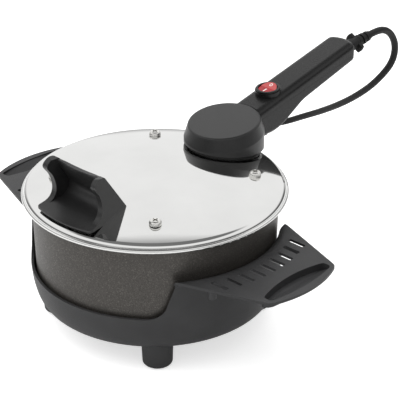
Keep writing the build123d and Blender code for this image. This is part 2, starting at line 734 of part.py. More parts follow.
with BuildPart() as cheeks:
    with BuildSketch(Plane.XY.offset(PLINTH_TOP_Z)):
        add(grip_outline(0))
        with BuildSketch(mode=Mode.SUBTRACT) as between:
            Polygon(
                (GRIP_FRONT_X - GRIP_CHEEK_T, GRIP_CLEAR_Y),
                (GRIP_REAR_X - GRIP_CHEEK_T, GRIP_REAR_Y + 5),
                (-GRIP_REAR_X + GRIP_CHEEK_T, GRIP_REAR_Y + 5),
                (-GRIP_FRONT_X + GRIP_CHEEK_T, GRIP_CLEAR_Y),
                align=None,
            )
    extrude(amount=GRIP_BLOCK_H)
    with BuildSketch(Plane.YZ):
        with BuildLine():
            Line((GRIP_CLEAR_Y, PLINTH_TOP_Z), BACK_FOOT)
            Line(BACK_FOOT, BACK_TOP)
            Spline(BACK_TOP, *CHEEK_CURVE, GRIP_LOW_FRONT)
            Line(GRIP_LOW_FRONT, (GRIP_CLEAR_Y, PLINTH_TOP_Z))
        make_face()
    extrude(amount=2 * GRIP_FRONT_X, both=True, mode=Mode.INTERSECT)

with BuildPart() as front_grip:
    add(scooped.part)
    add(cheeks.part)
    # The ridge sags between the cheeks.
    with BuildSketch(Plane.XZ):
        with BuildLine():
            sag = ThreePointArc(
                (-GRIP_FRONT_X, GRIP_RIDGE_Z + 0.5),
                (0, GRIP_RIDGE_Z - GRIP_RIDGE_SAG),
                (GRIP_FRONT_X, GRIP_RIDGE_Z + 0.5),
            )
            over = PLINTH_TOP_Z + GRIP_BLOCK_H + 1
            Polyline(sag @ 1, (GRIP_FRONT_X, over), (-GRIP_FRONT_X, over), sag @ 0)
        make_face()
    extrude(amount=-GRIP_CLEAR_Y, mode=Mode.SUBTRACT)
    # A pocket from below, with a boss for each screw.
    with BuildPart(mode=Mode.PRIVATE) as pocket:
        with BuildSketch(Plane.YZ):
            with BuildLine():
                Polyline(*GRIP_POCKET, close=True)
            make_face()
        extrude(amount=GRIP_FRONT_X, both=True)
        with BuildSketch(Plane.XY.offset(PLINTH_TOP_Z)):
            add(grip_outline(GRIP_WALL))
        extrude(amount=GRIP_BLOCK_H, mode=Mode.INTERSECT)
        drill(GRIP_SCREW_AT, GRIP_BOSS_D, PLINTH_TOP_Z, PLINTH_TOP_Z + GRIP_BLOCK_H)
    add(pocket.part, mode=Mode.SUBTRACT)
    drill(GRIP_SCREW_AT, GRIP_SCREW_D + 2 * FIT, PLINTH_TOP_Z, PLINTH_TOP_Z + SCREW_DEPTH)
save(front_grip, "front_grip")

with BuildPart() as grip_spacer:
    with BuildSketch(Plane.XY.offset(LID_TOP_Z)):
        add(grip_outline(PLINTH_INSET))
    extrude(amount=PLINTH_GAP)
    drill(GRIP_SCREW_AT, GRIP_SCREW_D + 2 * HOLE_PLAY, LID_TOP_Z, PLINTH_TOP_Z)
save(grip_spacer, "grip_spacer")

with BuildPart() as grip_screws:
    for place in GRIP_SCREW_AT:
        add(
            screw(
                place,
                LID_UNDER_Z,
                GRIP_SCREW_D,
                PLINTH_TOP_Z + SCREW_REACH - LID_UNDER_Z,
                GRIP_SCREW_HEAD_D,
                GRIP_SCREW_HEAD_H,
                upward=True,
            )
        )
save(grip_screws, "grip_screws")

# Terminal housing: a tilted round cap over a ring that belongs to the handle's lower shell
BREAK_PLANE = Plane(origin=(0, HOUSING_Y, CAP_BREAK_Z), x_dir=(1, 0, 0), z_dir=CAP_PLANE.z_dir)
RIM_PLANE = Plane(
    origin=(0, HOUSING_Y, CAP_RIM_Z),
    x_dir=(1, 0, 0),
    z_dir=(0, sin(radians(CAP_RIM_TILT)), cos(radians(CAP_RIM_TILT))),
)
RING_R = HOUSING_R - CAP_WALL - CAP_PLAY
WINDOW_HALF_W = 12.0
WINDOW_TOP_Z = 150.0
HOUSING_FLOOR_T = 2.4
HOUSING_BOSS_D = 8.0
housing_floor_z = PLINTH_TOP_Z + HOUSING_FLOOR_T


def cap_form(grow):
    """The cap's outside carried down to the lid, grown or drawn in by a distance."""
    radius = HOUSING_R + grow
    with BuildPart() as form:
        with Locations((0, HOUSING_Y, LID_UNDER_Z)):
            Cylinder(radius, 2 * (CAP_BREAK_Z - LID_UNDER_Z), align=(Align.CENTER, Align.CENTER, Align.MIN))
        split(bisect_by=BREAK_PLANE, keep=Keep.BOTTOM)
        with BuildSketch(BREAK_PLANE):
            Ellipse(radius, radius / cos(radians(CAP_TILT)))
        with BuildSketch(CAP_PLANE.offset(grow)):
            Circle(CAP_TOP_R + grow)
        loft()
    return form.part


with BuildPart() as knob_cap:
    add(cap_form(0))
    fillet(knob_cap.edges().group_by(Axis.Z)[-1], CAP_EDGE)
    add(cap_form(-CAP_WALL), mode=Mode.SUBTRACT)
    split(bisect_by=RIM_PLANE, keep=Keep.TOP)
    with BuildPart(mode=Mode.PRIVATE) as cap_bosses:
        with Locations(*[(x, y, housing_floor_z) for x, y in HOUSING_SCREW_AT]):
            Cylinder(
                HOUSING_BOSS_D / 2,
                CAP_TOP_Z - housing_floor_z,
                align=(Align.CENTER, Align.CENTER, Align.MIN),
            )
        add(cap_form(-CAP_WALL / 2), mode=Mode.INTERSECT)
    add(cap_bosses.part)
    drill(HOUSING_SCREW_AT, GRIP_SCREW_D + 2 * FIT, PLINTH_TOP_Z, PLINTH_TOP_Z + SCREW_DEPTH)
    with Locations((0, HOUSING_Y + HOUSING_R, PLINTH_TOP_Z)):
        Box(
            2 * WINDOW_HALF_W + CAP_PLAY,
            HOUSING_R,
            WINDOW_TOP_Z - PLINTH_TOP_Z,
            align=(Align.CENTER, Align.CENTER, Align.MIN),
            mode=Mode.SUBTRACT,
        )
save(knob_cap, "knob_cap")

with BuildPart() as knob_spacer:
    with BuildSketch(Plane.XY.offset(LID_TOP_Z)):
        with Locations((0, HOUSING_Y)):
            Circle(HOUSING_R - PLINTH_INSET)
        Circle(LID_BAND_R - LID_SHOULDER, mode=Mode.INTERSECT)
    extrude(amount=PLINTH_GAP)
    drill(EARTH_SCREW_AT, SHELL_SCREW_D + 2 * HOLE_PLAY, LID_TOP_Z, PLINTH_TOP_Z)
    drill(COLD_END_AT, ELEMENT_D + 2 * HOLE_PLAY, LID_TOP_Z, PLINTH_TOP_Z)
    drill(HOUSING_SCREW_AT, GRIP_SCREW_D + 2 * HOLE_PLAY, LID_TOP_Z, PLINTH_TOP_Z)
save(knob_spacer, "knob_spacer")

with BuildPart() as housing_screws:
    for place in HOUSING_SCREW_AT:
        add(
            screw(
                place,
                LID_UNDER_Z,
                GRIP_SCREW_D,
                PLINTH_TOP_Z + SCREW_REACH - LID_UNDER_Z,
                GRIP_SCREW_HEAD_D,
                GRIP_SCREW_HEAD_H,
                upward=True,
            )
        )
save(housing_screws, "housing_screws")

# Handle: two shells that meet at a sloping seam
SEAM_PLANE = Plane(
    origin=(0, SEAM_Y, SEAM_Z),
    x_dir=(1, 0, 0),
    z_dir=(0, -sin(radians(SEAM_TILT)), cos(radians(SEAM_TILT))),
)
SWITCH_PLANE = Plane(
    origin=(0, SWITCH_Y, SWITCH_TOP_Z),
    x_dir=(1, 0, 0),
    z_dir=(0, -sin(radians(SWITCH_TILT)), cos(radians(SWITCH_TILT))),
)


def seam_z(y):
    """The seam's height at a distance along the handle."""
    return SEAM_Z + (y - SEAM_Y) * tan(radians(SEAM_TILT))


def arm_top_z(y):
    """The height of the handle's flat top."""
    return seam_z(y) + ARM_TOP_START + (ARM_TOP_END - ARM_TOP_START) * (y - SEAM_Y) / (ARM_END_Y - SEAM_Y)


def arm_low_z(y):
    """The height of the handle's straight underside, behind its waist."""
    return ARM_WAIST_Z + (ARM_TAIL_Z - ARM_WAIST_Z) * (y - ARM_WAIST_Y) / (ARM_TAIL_Y - ARM_WAIST_Y)


def arm_bar(inset):
    """The handle's outside, or its inside when it is drawn in."""
    half_w = ARM_HALF_W - inset
    end_y = ARM_END_Y - inset
    with BuildPart() as bar:
        with BuildSketch(Plane.YZ) as profile:
            with BuildLine():
                Polyline(
                    (ARM_ROOT_Y, ARM_BELLY_Z - ARM_ROOT_DROP),
                    (ARM_BELLY_Y, ARM_BELLY_Z),
                    (ARM_WAIST_Y, ARM_WAIST_Z),
                    (ARM_FAR_Y, arm_low_z(ARM_FAR_Y)),
                    (ARM_FAR_Y, arm_top_z(ARM_FAR_Y)),
                    (ARM_ROOT_Y, arm_top_z(ARM_ROOT_Y)),
                    close=True,
                )
            make_face()
            fillet(profile.vertices().sort_by_distance((ARM_BELLY_Y, ARM_BELLY_Z))[0], ARM_BELLY_FILLET)
            fillet(profile.vertices().sort_by_distance((ARM_WAIST_Y, ARM_WAIST_Z))[0], ARM_WAIST_FILLET)
            if inset:
                offset(amount=-inset)
        extrude(amount=half_w, both=True)
        with BuildSketch(Plane.XY.offset(120)) as plan:
            with BuildLine():
                end = ThreePointArc((-half_w, end_y), (0, end_y + ARM_END_BULGE), (half_w, end_y))
                Polyline(end @ 1, (half_w, 100), (-half_w, 100), end @ 0)
            make_face()
            fillet(plan.vertices().group_by(Axis.Y)[-1], ARM_END_CORNER - inset)
        extrude(amount=100, mode=Mode.INTERSECT)
    return bar.part


def screw_columns(diameter, low, high):
    """Upright columns where the screws join the shells."""
    with BuildPart() as columns:
        with Locations(*[(0, y, low) for y in SHELL_SCREW_YS]):
            Cylinder(diameter / 2, high - low, align=(Align.CENTER, Align.CENTER, Align.MIN))
    return columns.part


with BuildPart() as arm_form:
    add(arm_bar(0))
    top_face = arm_form.faces().filter_by(lambda face: face.normal_at().Z > 0.9)
    fillet(top_face.edges().filter_by(lambda edge: edge.center().Y > ARM_ROOT_Y + 1), ARM_TOP_FILLET)
    under = arm_form.faces().filter_by(lambda face: face.normal_at().Z < -0.5)
    fillet(under.edges().filter_by(lambda edge: abs(edge.center().X) > ARM_HALF_W - 0.1), ARM_LOW_FILLET)

with BuildPart() as arm_hollow:
    add(arm_bar(ARM_WALL))
    top_face = arm_hollow.faces().filter_by(lambda face: face.normal_at().Z > 0.9)
    long_way = ARM_ROOT_Y + 2 * ARM_WALL
    fillet(top_face.edges().filter_by(lambda edge: edge.center().Y > long_way), ARM_TOP_FILLET - ARM_WALL)

with BuildPart() as columns:
    add(screw_columns(SHELL_BOSS_D, 120, 200))
    add(arm_form.part, mode=Mode.INTERSECT)

with BuildPart() as gland_hole:
    with BuildSketch(GLAND_PLANE):
        Circle(GLAND_STUB_D / 2 + 2 * FIT)
    extrude(amount=GLAND_HOLE_L)
    # The collar inside the handle has its own seat in both shells.
    with BuildSketch(GLAND_PLANE):
        Circle(GLAND_COLLAR_D / 2 + HOLE_PLAY)
    extrude(amount=GLAND_COLLAR_AT + GLAND_COLLAR_T)

with BuildPart() as arm_upper:
    add(arm_form.part)
    add(arm_hollow.part, mode=Mode.SUBTRACT)
    add(columns.part)
    with BuildSketch(SWITCH_PLANE):
        Circle(SWITCH_BOSS_D / 2)
    extrude(amount=-6)
    with BuildSketch(SWITCH_PLANE):
        Circle(SWITCH_BODY_D / 2 + 2 * FIT)
    extrude(amount=-14, mode=Mode.SUBTRACT)
    add(cap_form(CAP_PLAY), mode=Mode.SUBTRACT)
    add(gland_hole.part, mode=Mode.SUBTRACT)
    split(bisect_by=SEAM_PLANE.offset(SEAM_GAP / 2), keep=Keep.TOP)
    for y in SHELL_SCREW_YS:
        drill([(0, y)], SHELL_SCREW_D + 2 * FIT, seam_z(y) - 1, seam_z(y) + SHELL_SCREW_REACH + 0.5)
save(arm_upper, "arm_upper")

CLAMP_Y = 247.0
CLAMP_X = 9.0
CLAMP_BOSS_Z = 174.8
CLAMP_BAR_T = 7.0
CLAMP_BOSS_D = 6.0
CLAMP_FOOT_T = 2.0
SADDLE_W = 8.0
SADDLE_L = 6.0
SEAT_DEPTH = 12.0
CLAMP_PILOT_D = 2.6
CLAMP_SCREW_REACH = 5.5
CLAMP_AT = [(CLAMP_X, CLAMP_Y), (-CLAMP_X, CLAMP_Y)]
sheath_z = GLAND_Z - (GLAND_Y - CLAMP_Y) * tan(radians(GLAND_TILT))
with BuildPart() as arm_lower:
    add(arm_form.part)
    add(arm_hollow.part, mode=Mode.SUBTRACT)
    add(columns.part)
    # Bosses and a saddle for the cord clamp.
    with BuildPart(mode=Mode.PRIVATE) as clamp_seat:
        with Locations(*[(x, y, CLAMP_BOSS_Z) for x, y in CLAMP_AT]):
            Cylinder(CLAMP_BOSS_D / 2, SEAT_DEPTH, align=(Align.CENTER, Align.CENTER, Align.MAX))
        with Locations((0, CLAMP_Y, sheath_z - CORD_D / 2 - HOLE_PLAY - FIT)):
            Box(SADDLE_W, SADDLE_L, SEAT_DEPTH, align=(Align.CENTER, Align.CENTER, Align.MAX))
        add(arm_form.part, mode=Mode.INTERSECT)
    add(clamp_seat.part)
    drill(CLAMP_AT, CLAMP_PILOT_D, CLAMP_BOSS_Z - CLAMP_SCREW_REACH + CLAMP_FOOT_T - HOLE_PLAY, CLAMP_BOSS_Z)
    add(cap_form(CAP_PLAY), mode=Mode.SUBTRACT)
    # Under the cap: a floor, the ring that the cap goes over, and webs back into the handle.
    with BuildPart(mode=Mode.PRIVATE) as ring:
        with BuildSketch(Plane.XY.offset(PLINTH_TOP_Z)):
            with Locations((0, HOUSING_Y)):
                Circle(RING_R)
                Circle(RING_R - RING_T, mode=Mode.SUBTRACT)
            with Locations((0, HOUSING_Y + HOUSING_R)):
                Rectangle(2 * (WINDOW_HALF_W - ROOT_WEB_T), HOUSING_R, mode=Mode.SUBTRACT)
        extrude(amount=CAP_BREAK_Z - PLINTH_TOP_Z)
        split(bisect_by=RIM_PLANE.offset(RING_LAP), keep=Keep.BOTTOM)
    add(ring.part)
    with BuildSketch(Plane.XY.offset(PLINTH_TOP_Z)):
        with Locations((0, HOUSING_Y)):
            Circle(RING_R)
        with Locations((0, HOUSING_Y)):
            Rectangle(
                2 * WINDOW_HALF_W - CAP_PLAY,
                ROOT_WEB_YS[1] - HOUSING_Y,
                align=(Align.CENTER, Align.MIN),
            )
    extrude(amount=HOUSING_FLOOR_T)
    web_x = WINDOW_HALF_W - ROOT_WEB_T / 2 - CAP_PLAY / 2
    for side in (1, -1):
        with Locations((side * web_x, ROOT_WEB_YS[0], PLINTH_TOP_Z)):
            Box(
                ROOT_WEB_T,
                ROOT_WEB_YS[1] - ROOT_WEB_YS[0],
                ROOT_WEB_TOP_Z - PLINTH_TOP_Z,
                align=(Align.CENTER, Align.MIN, Align.MIN),
            )
    add(gland_hole.part, mode=Mode.SUBTRACT)
    split(bisect_by=SEAM_PLANE.offset(-SEAM_GAP / 2), keep=Keep.BOTTOM)
    drill(COLD_END_AT, ELEMENT_D + 2 * HOLE_PLAY, PLINTH_TOP_Z, housing_floor_z)
    drill(HOUSING_SCREW_AT, GRIP_SCREW_D + 2 * HOLE_PLAY, PLINTH_TOP_Z, housing_floor_z)
    drill(EARTH_SCREW_AT, SHELL_SCREW_D + 2 * HOLE_PLAY, PLINTH_TOP_Z, housing_floor_z)
    for y in SHELL_SCREW_YS:
        seat_z = seam_z(y) - SHELL_SCREW_SEAT
        drill([(0, y)], SHELL_SCREW_HEAD_D + 4 * FIT, 125, seat_z)
        drill([(0, y)], SHELL_SCREW_D + 2 * HOLE_PLAY, seat_z, seam_z(y) + 1)
save(arm_lower, "arm_lower")

with BuildPart() as arm_screws:
    for y in SHELL_SCREW_YS:
        reach = SHELL_SCREW_SEAT + SHELL_SCREW_REACH
        seat_z = seam_z(y) - SHELL_SCREW_SEAT
        add(
            screw(
                (0, y),
                seat_z,
                SHELL_SCREW_D,
                reach,
                SHELL_SCREW_HEAD_D,
                SHELL_SCREW_HEAD_H,
                upward=True,
            )
        )
save(arm_screws, "arm_screws")

# Rocker switch: bezel with its skirt, body, tabs and the rocker on its pivots
ROCKER_PLANE = SWITCH_PLANE.offset(SWITCH_BEZEL_T - ROCKER_PIVOT_DEPTH)
with BuildPart() as switch_bezel:
    with BuildSketch(SWITCH_PLANE):
        Circle(SWITCH_BEZEL_D / 2)
    extrude(amount=SWITCH_BEZEL_T)
    fillet(switch_bezel.edges().group_by(Axis.Z)[-1], 0.7)
    with BuildSketch(SWITCH_PLANE):
        Circle(SWITCH_BODY_D / 2)
    extrude(amount=-SWITCH_SKIRT_H)
    with BuildSketch(SWITCH_PLANE.offset(SWITCH_BEZEL_T)):
        Circle(SWITCH_BORE_D / 2)
    extrude(amount=-SWITCH_SKIRT_H - SWITCH_BEZEL_T, mode=Mode.SUBTRACT)
    with BuildSketch(Plane(origin=ROCKER_PLANE.origin, z_dir=(1, 0, 0))):
        Circle(PIVOT_D / 2 + FIT)
    extrude(amount=SWITCH_BODY_D, both=True, mode=Mode.SUBTRACT)
save(switch_bezel, "switch_bezel")

with BuildPart() as switch_rocker:
    Cylinder(ROCKER_D / 2, 3 * ROCKER_HALF_H)
    # The top is a shallow V, so that one half lies level with the bezel.
    with BuildSketch(Plane.YZ):
        with BuildLine():
            rise = ROCKER_D / 2 * tan(radians(ROCKER_SWING))
            Polyline(
                (-ROCKER_D, 3 * ROCKER_HALF_H),
                (-ROCKER_D, ROCKER_HALF_H + rise),
                (0, ROCKER_HALF_H - rise),
                (ROCKER_D, ROCKER_HALF_H + rise),
                (ROCKER_D, 3 * ROCKER_HALF_H),
                close=True,
            )
        make_face()
    extrude(amount=ROCKER_D, both=True, mode=Mode.SUBTRACT)
    with Locations((0, 0, -ROCKER_HALF_H)):
        Box(ROCKER_D, ROCKER_D, ROCKER_D, align=(Align.CENTER, Align.CENTER, Align.MAX), mode=Mode.SUBTRACT)
    Cylinder(PIVOT_D / 2, SWITCH_BODY_D - 4 * FIT, rotation=(0, 90, 0))
rocker_at = ROCKER_PLANE.location * Location((0, 0, 0), (ROCKER_SWING, 0, 0))
switch_rocker.part = switch_rocker.part.moved(rocker_at)
save(switch_rocker, "switch_rocker")
print("rocker pivot", (FRAME_SHIFT * Location(ROCKER_PLANE.origin)).position)

TAB_OFFSET = 4.2
TAB_W = 6.3
TAB_T = 0.8
TAB_H = 7.5
body_plane = SWITCH_PLANE.offset(-SWITCH_SKIRT_H)
with BuildPart() as switch_body:
    with BuildSketch(body_plane):
        Circle(SWITCH_BODY_D / 2)
    extrude(amount=-SWITCH_BODY_H)
save(switch_body, "switch_body")

with BuildPart() as switch_tabs:
    with BuildSketch(body_plane.offset(-SWITCH_BODY_H)):
        with Locations((0, TAB_OFFSET), (0, -TAB_OFFSET)):
            Rectangle(TAB_W, TAB_T)
    extrude(amount=-TAB_H)
save(switch_tabs, "switch_tabs")

# Gland at the handle's end, and the boot whose sheath runs back through it to the clamp
with BuildPart() as cord_gland:
    with BuildSketch(GLAND_PLANE.offset(GLAND_NECK_AT)):
        Circle(GLAND_NECK_D / 2)
    with BuildSketch(GLAND_PLANE.offset(GLAND_FLANGE_AT)):
        Circle(GLAND_NECK_D / 2 - 1)
    loft()
    with BuildPart(mode=Mode.PRIVATE) as flange:
        with BuildSketch(GLAND_PLANE.offset(GLAND_FLANGE_AT)):
            Circle(GLAND_FLANGE_D / 2)
            Rectangle(GLAND_FLANGE_D, GLAND_FLANGE_W, rotation=GLAND_FLANGE_TURN, mode=Mode.INTERSECT)
        extrude(amount=GLAND_FLANGE_T)
        fillet(flange.edges(), 0.8)
    add(flange.part)
    with BuildSketch(GLAND_PLANE.offset(GLAND_FLANGE_AT)):
        Circle(GLAND_NECK_D / 2 - 1)
    extrude(amount=GLAND_FLANGE_T)
    with BuildSketch(GLAND_PLANE.offset(GLAND_COLLAR_AT)):
        Circle(GLAND_STUB_D / 2)
    extrude(amount=GLAND_NECK_AT - GLAND_COLLAR_AT)
    with BuildSketch(GLAND_PLANE.offset(GLAND_COLLAR_AT)):
        Circle(GLAND_COLLAR_D / 2)
    extrude(amount=GLAND_COLLAR_T)
    with BuildSketch(GLAND_PLANE.offset(GLAND_COLLAR_AT)):
        Circle(CORD_D / 2 + FIT)
    extrude(amount=BOOT_START, mode=Mode.SUBTRACT)
save(cord_gland, "cord_gland")

with BuildPart() as strain_relief:
    with BuildSketch(GLAND_PLANE.offset(BOOT_START)):
        Circle(BOOT_D / 2 - 1.5)
    with BuildSketch(GLAND_PLANE.offset(BOOT_END)):
        Circle(BOOT_END_D / 2 - 0.4)
    loft()
    rib_pitch = BOOT_LENGTH / BOOT_RIBS
    for rib in range(BOOT_RIBS):
        rib_at = BOOT_START + rib * rib_pitch
        rib_r = BOOT_D / 2 - rib * (BOOT_D - BOOT_END_D) / 2 / BOOT_RIBS
        with BuildSketch(GLAND_PLANE.offset(rib_at)):
            Circle(rib_r)
        extrude(amount=rib_pitch * 0.58)
    with BuildSketch(GLAND_PLANE.offset(SHEATH_END)):
        Circle(CORD_D / 2)
    extrude(amount=BOOT_START - SHEATH_END)
save(strain_relief, "strain_relief")

CLAMP_SCREW_D = 2.5
CLAMP_HEAD_D = 4.4
CLAMP_HEAD_H = 1.6
CLAMP_W = 24.4
CLAMP_STRAP_T = 1.8
with BuildPart() as cord_clamp:
    with Locations((0, CLAMP_Y, CLAMP_BOSS_Z)):
        Box(CLAMP_W, CLAMP_BAR_T, CLAMP_FOOT_T, align=(Align.CENTER, Align.CENTER, Align.MIN))
    clamp_plane = Plane(origin=(0, CLAMP_Y, sheath_z), x_dir=(1, 0, 0), z_dir=GLAND_DIR)
    with BuildSketch(clamp_plane):
        Circle(CORD_D / 2 + FIT + CLAMP_STRAP_T)
    extrude(amount=CLAMP_BAR_T / 2, both=True)
    with BuildSketch(clamp_plane):
        Circle(CORD_D / 2 + FIT)
    extrude(amount=CLAMP_BAR_T, both=True, mode=Mode.SUBTRACT)
    with Locations((0, CLAMP_Y, CLAMP_BOSS_Z)):
        Box(CLAMP_W, CLAMP_W, SEAT_DEPTH, align=(Align.CENTER, Align.CENTER, Align.MAX), mode=Mode.SUBTRACT)
    drill(
        CLAMP_AT,
        CLAMP_SCREW_D + 2 * HOLE_PLAY,
        CLAMP_BOSS_Z,
        CLAMP_BOSS_Z + CLAMP_FOOT_T,
    )
save(cord_clamp, "cord_clamp")

with BuildPart() as cord_clamp_screws:
    for place in CLAMP_AT:
        add(
            screw(
                place,
                CLAMP_BOSS_Z + CLAMP_FOOT_T,
                CLAMP_SCREW_D,
                CLAMP_SCREW_REACH,
                CLAMP_HEAD_D,
                CLAMP_HEAD_H,
            )
        )
save(cord_clamp_screws, "cord_clamp_screws")

# Under the cap: terminal block, its screws, the thermal cutout and the earth tag
BLOCK_FRONT_Y = 67.4
BLOCK_REAR_Y = 82.0
BLOCK_TOP_Z = 147.0
BLOCK_W = 38.0
BARRIER_T = 3.0
BARRIER_H = 2.0
TERMINAL_SCREW_D = 3.5
TERMINAL_HEAD_D = 6.0
TERMINAL_HEAD_H = 2.0
TERMINAL_SCREW_REACH = 5.5
TERMINAL_SCREW_BACK = 2.0
WIRE_Z = 142.0
TERMINAL_X = cold_end_foot.X
block_y = (BLOCK_FRONT_Y + BLOCK_REAR_Y) / 2
TERMINAL_SCREW_AT = [(x, block_y + TERMINAL_SCREW_BACK) for x in (TERMINAL_X, -TERMINAL_X)]
with BuildPart() as terminal_block:
    with Locations((0, block_y, housing_floor_z)):
        Box(
            BLOCK_W,
            BLOCK_REAR_Y - BLOCK_FRONT_Y,
            BLOCK_TOP_Z - housing_floor_z,
            align=(Align.CENTER, Align.CENTER, Align.MIN),
        )
        Box(
            BARRIER_T,
            BLOCK_REAR_Y - BLOCK_FRONT_Y,
            BLOCK_TOP_Z - housing_floor_z + BARRIER_H,
            align=(Align.CENTER, Align.CENTER, Align.MIN),
        )
    drill(COLD_END_AT, ELEMENT_D + 2 * FIT, housing_floor_z, COLD_END_TOP_Z + FIT)
    drill(
        TERMINAL_SCREW_AT,
        TERMINAL_SCREW_D + 2 * FIT,
        BLOCK_TOP_Z - TERMINAL_SCREW_REACH - HOLE_PLAY,
        BLOCK_TOP_Z,
    )
save(terminal_block, "terminal_block")

with BuildPart() as terminal_screws:
    for place in TERMINAL_SCREW_AT:
        add(
            screw(
                place,
                BLOCK_TOP_Z,
                TERMINAL_SCREW_D,
                TERMINAL_SCREW_REACH,
                TERMINAL_HEAD_D,
                TERMINAL_HEAD_H,
            )
        )
save(terminal_screws, "terminal_screws")

CUTOUT_Y = 96.0
CUTOUT_R = 7.0
CUTOUT_H = 5.5
CUTOUT_TOP_STEP = 1.5
BLADE_X = 3.0
BLADE_W = 4.0
BLADE_Z = housing_floor_z + 3.0
with BuildPart() as thermal_cutout:
    with Locations((0, CUTOUT_Y, housing_floor_z)):
        Cylinder(CUTOUT_R, CUTOUT_H, align=(Align.CENTER, Align.CENTER, Align.MIN))
        Cylinder(
            CUTOUT_R - CUTOUT_TOP_STEP,
            CUTOUT_H + CUTOUT_TOP_STEP,
            align=(Align.CENTER, Align.CENTER, Align.MIN),
        )
    for x in (BLADE_X, -BLADE_X):
        with Locations((x, BLOCK_REAR_Y, BLADE_Z)):
            Box(BLADE_W, CUTOUT_Y - BLOCK_REAR_Y, TAB_T, align=(Align.CENTER, Align.MIN, Align.MIN))
save(thermal_cutout, "thermal_cutout")

EARTH_BARREL_D = 3.6
EARTH_END_Y = 121.0
EARTH_CRIMP_L = 7.0
TAG_W = 9.0
TAG_L = 13.0
TAG_NECK_W = 2.4
earth_z = housing_floor_z + TAB_T + EARTH_BARREL_D / 2
with BuildPart() as earth_tag:
    with Locations((0, EARTH_SCREW_AT[0][1] + 2.5, housing_floor_z)):
        Box(TAG_W, TAG_L, TAB_T, align=(Align.CENTER, Align.CENTER, Align.MIN))
    drill(EARTH_SCREW_AT, SHELL_SCREW_D + 2 * HOLE_PLAY, housing_floor_z, housing_floor_z + TAB_T)
    with BuildSketch(Plane.XZ.offset(-EARTH_END_Y)):
        with Locations((0, earth_z)):
            Circle(EARTH_BARREL_D / 2)
        with Locations((0, housing_floor_z)):
            Rectangle(TAG_NECK_W, EARTH_BARREL_D / 2, align=(Align.CENTER, Align.MIN))
    extrude(amount=EARTH_CRIMP_L)
save(earth_tag, "earth_tag")

with BuildPart() as earth_screw:
    earth_reach = housing_floor_z + TAB_T - LID_UNDER_Z + 1
    add(
        screw(
            EARTH_SCREW_AT[0],
            housing_floor_z + TAB_T,
            SHELL_SCREW_D,
            earth_reach,
            SHELL_SCREW_HEAD_D,
            SHELL_SCREW_HEAD_H,
        )
    )
save(earth_screw, "earth_screw")


# Leads inside the handle, from the sheath's end
def lead(points, name):
    """An insulated wire along points given from end to end, with rounded corners."""
    with BuildPart() as wire:
        with BuildLine() as path:
            FilletPolyline(*points, radius=LEAD_BEND)
        with BuildSketch(Plane(origin=path.line @ 0, z_dir=path.line % 0)):
            Circle(LEAD_D / 2)
        sweep()
    save(wire, name)


LEAD_D = 2.2
LEAD_BEND = 4.0
LEAD_X = 8.0
LEAD_START_Y = 243.5
TAB_Z = 149.0
lead_start_z = GLAND_Z - (GLAND_Y - LEAD_START_Y) * tan(radians(GLAND_TILT))
lead(
    [
        (-1.6, LEAD_START_Y, lead_start_z - 0.8),
        (-1.6, 238, 174.2),
        (-LEAD_X, 228, 168),
        (-LEAD_X, 190, 160),
        (-LEAD_X, 152, 143),
        (-LEAD_X, 124, 140.5),
        (-TERMINAL_X, 106, 141),
        (-TERMINAL_X, BLOCK_REAR_Y + FIT, WIRE_Z),
    ],
    "neutral_lead",
)
lead(
    [
        (1.6, LEAD_START_Y, lead_start_z - 0.8),
        (1.6, 238, 174.2),
        (LEAD_X, 228, 168),
        (LEAD_X, 190, 160),
        (LEAD_X, 176, 154.6),
        (0, 165, TAB_Z + 0.5),
        (0, SWITCH_Y + TAB_OFFSET + 2.9, TAB_Z),
    ],
    "live_lead",
)
lead(
    [
        (0, SWITCH_Y - TAB_OFFSET + 1.6, TAB_Z),
        (0, 137, TAB_Z - 1),
        (LEAD_X, 124, 142),
        (TERMINAL_X, 106, 141),
        (TERMINAL_X, BLOCK_REAR_Y + FIT, WIRE_Z),
    ],
    "switch_lead",
)
lead(
    [
        (0, LEAD_START_Y, lead_start_z + 1.5),
        (0, 238.5, 177),
        (-LEAD_X, 228, 173),
        (-LEAD_X, 190, 164.6),
        (-3.6, 166, 149),
        (-3.2, 150, 140.2),
        (0, 134, earth_z + 1.6),
        (0, EARTH_END_Y + FIT, earth_z),
    ],
    "earth_lead",
)

# Coil: one unbroken tube in two layers of half turns. The lower layer winds in, the tube climbs in
# the innermost half turn, and the upper layer winds out.
COIL_X = -138.0
COIL_Y = 150.0
COIL_OUTER_R = 45.0
COIL_PITCH = CORD_D + 0.5
COIL_LAYER_HALVES = 4
COIL_INNER_STEP = 1.3
COIL_LOW_Z = CORD_D / 2 + 1.0
coil_top_z = COIL_LOW_Z + COIL_PITCH
wound_in = [COIL_OUTER_R - COIL_PITCH / 2 * half for half in range(COIL_LAYER_HALVES)]
wound_in.append(COIL_OUTER_R - COIL_PITCH / 2 * COIL_LAYER_HALVES - COIL_INNER_STEP)
coil_radii = wound_in + wound_in[::-1]


def coil_point(index):
    """Where the tube crosses the X axis of the coil, on the left for even numbers."""
    side = -1 if index % 2 == 0 else 1
    height = COIL_LOW_Z if index <= COIL_LAYER_HALVES else coil_top_z
    return Vector(COIL_X + side * coil_radii[index], COIL_Y, height)


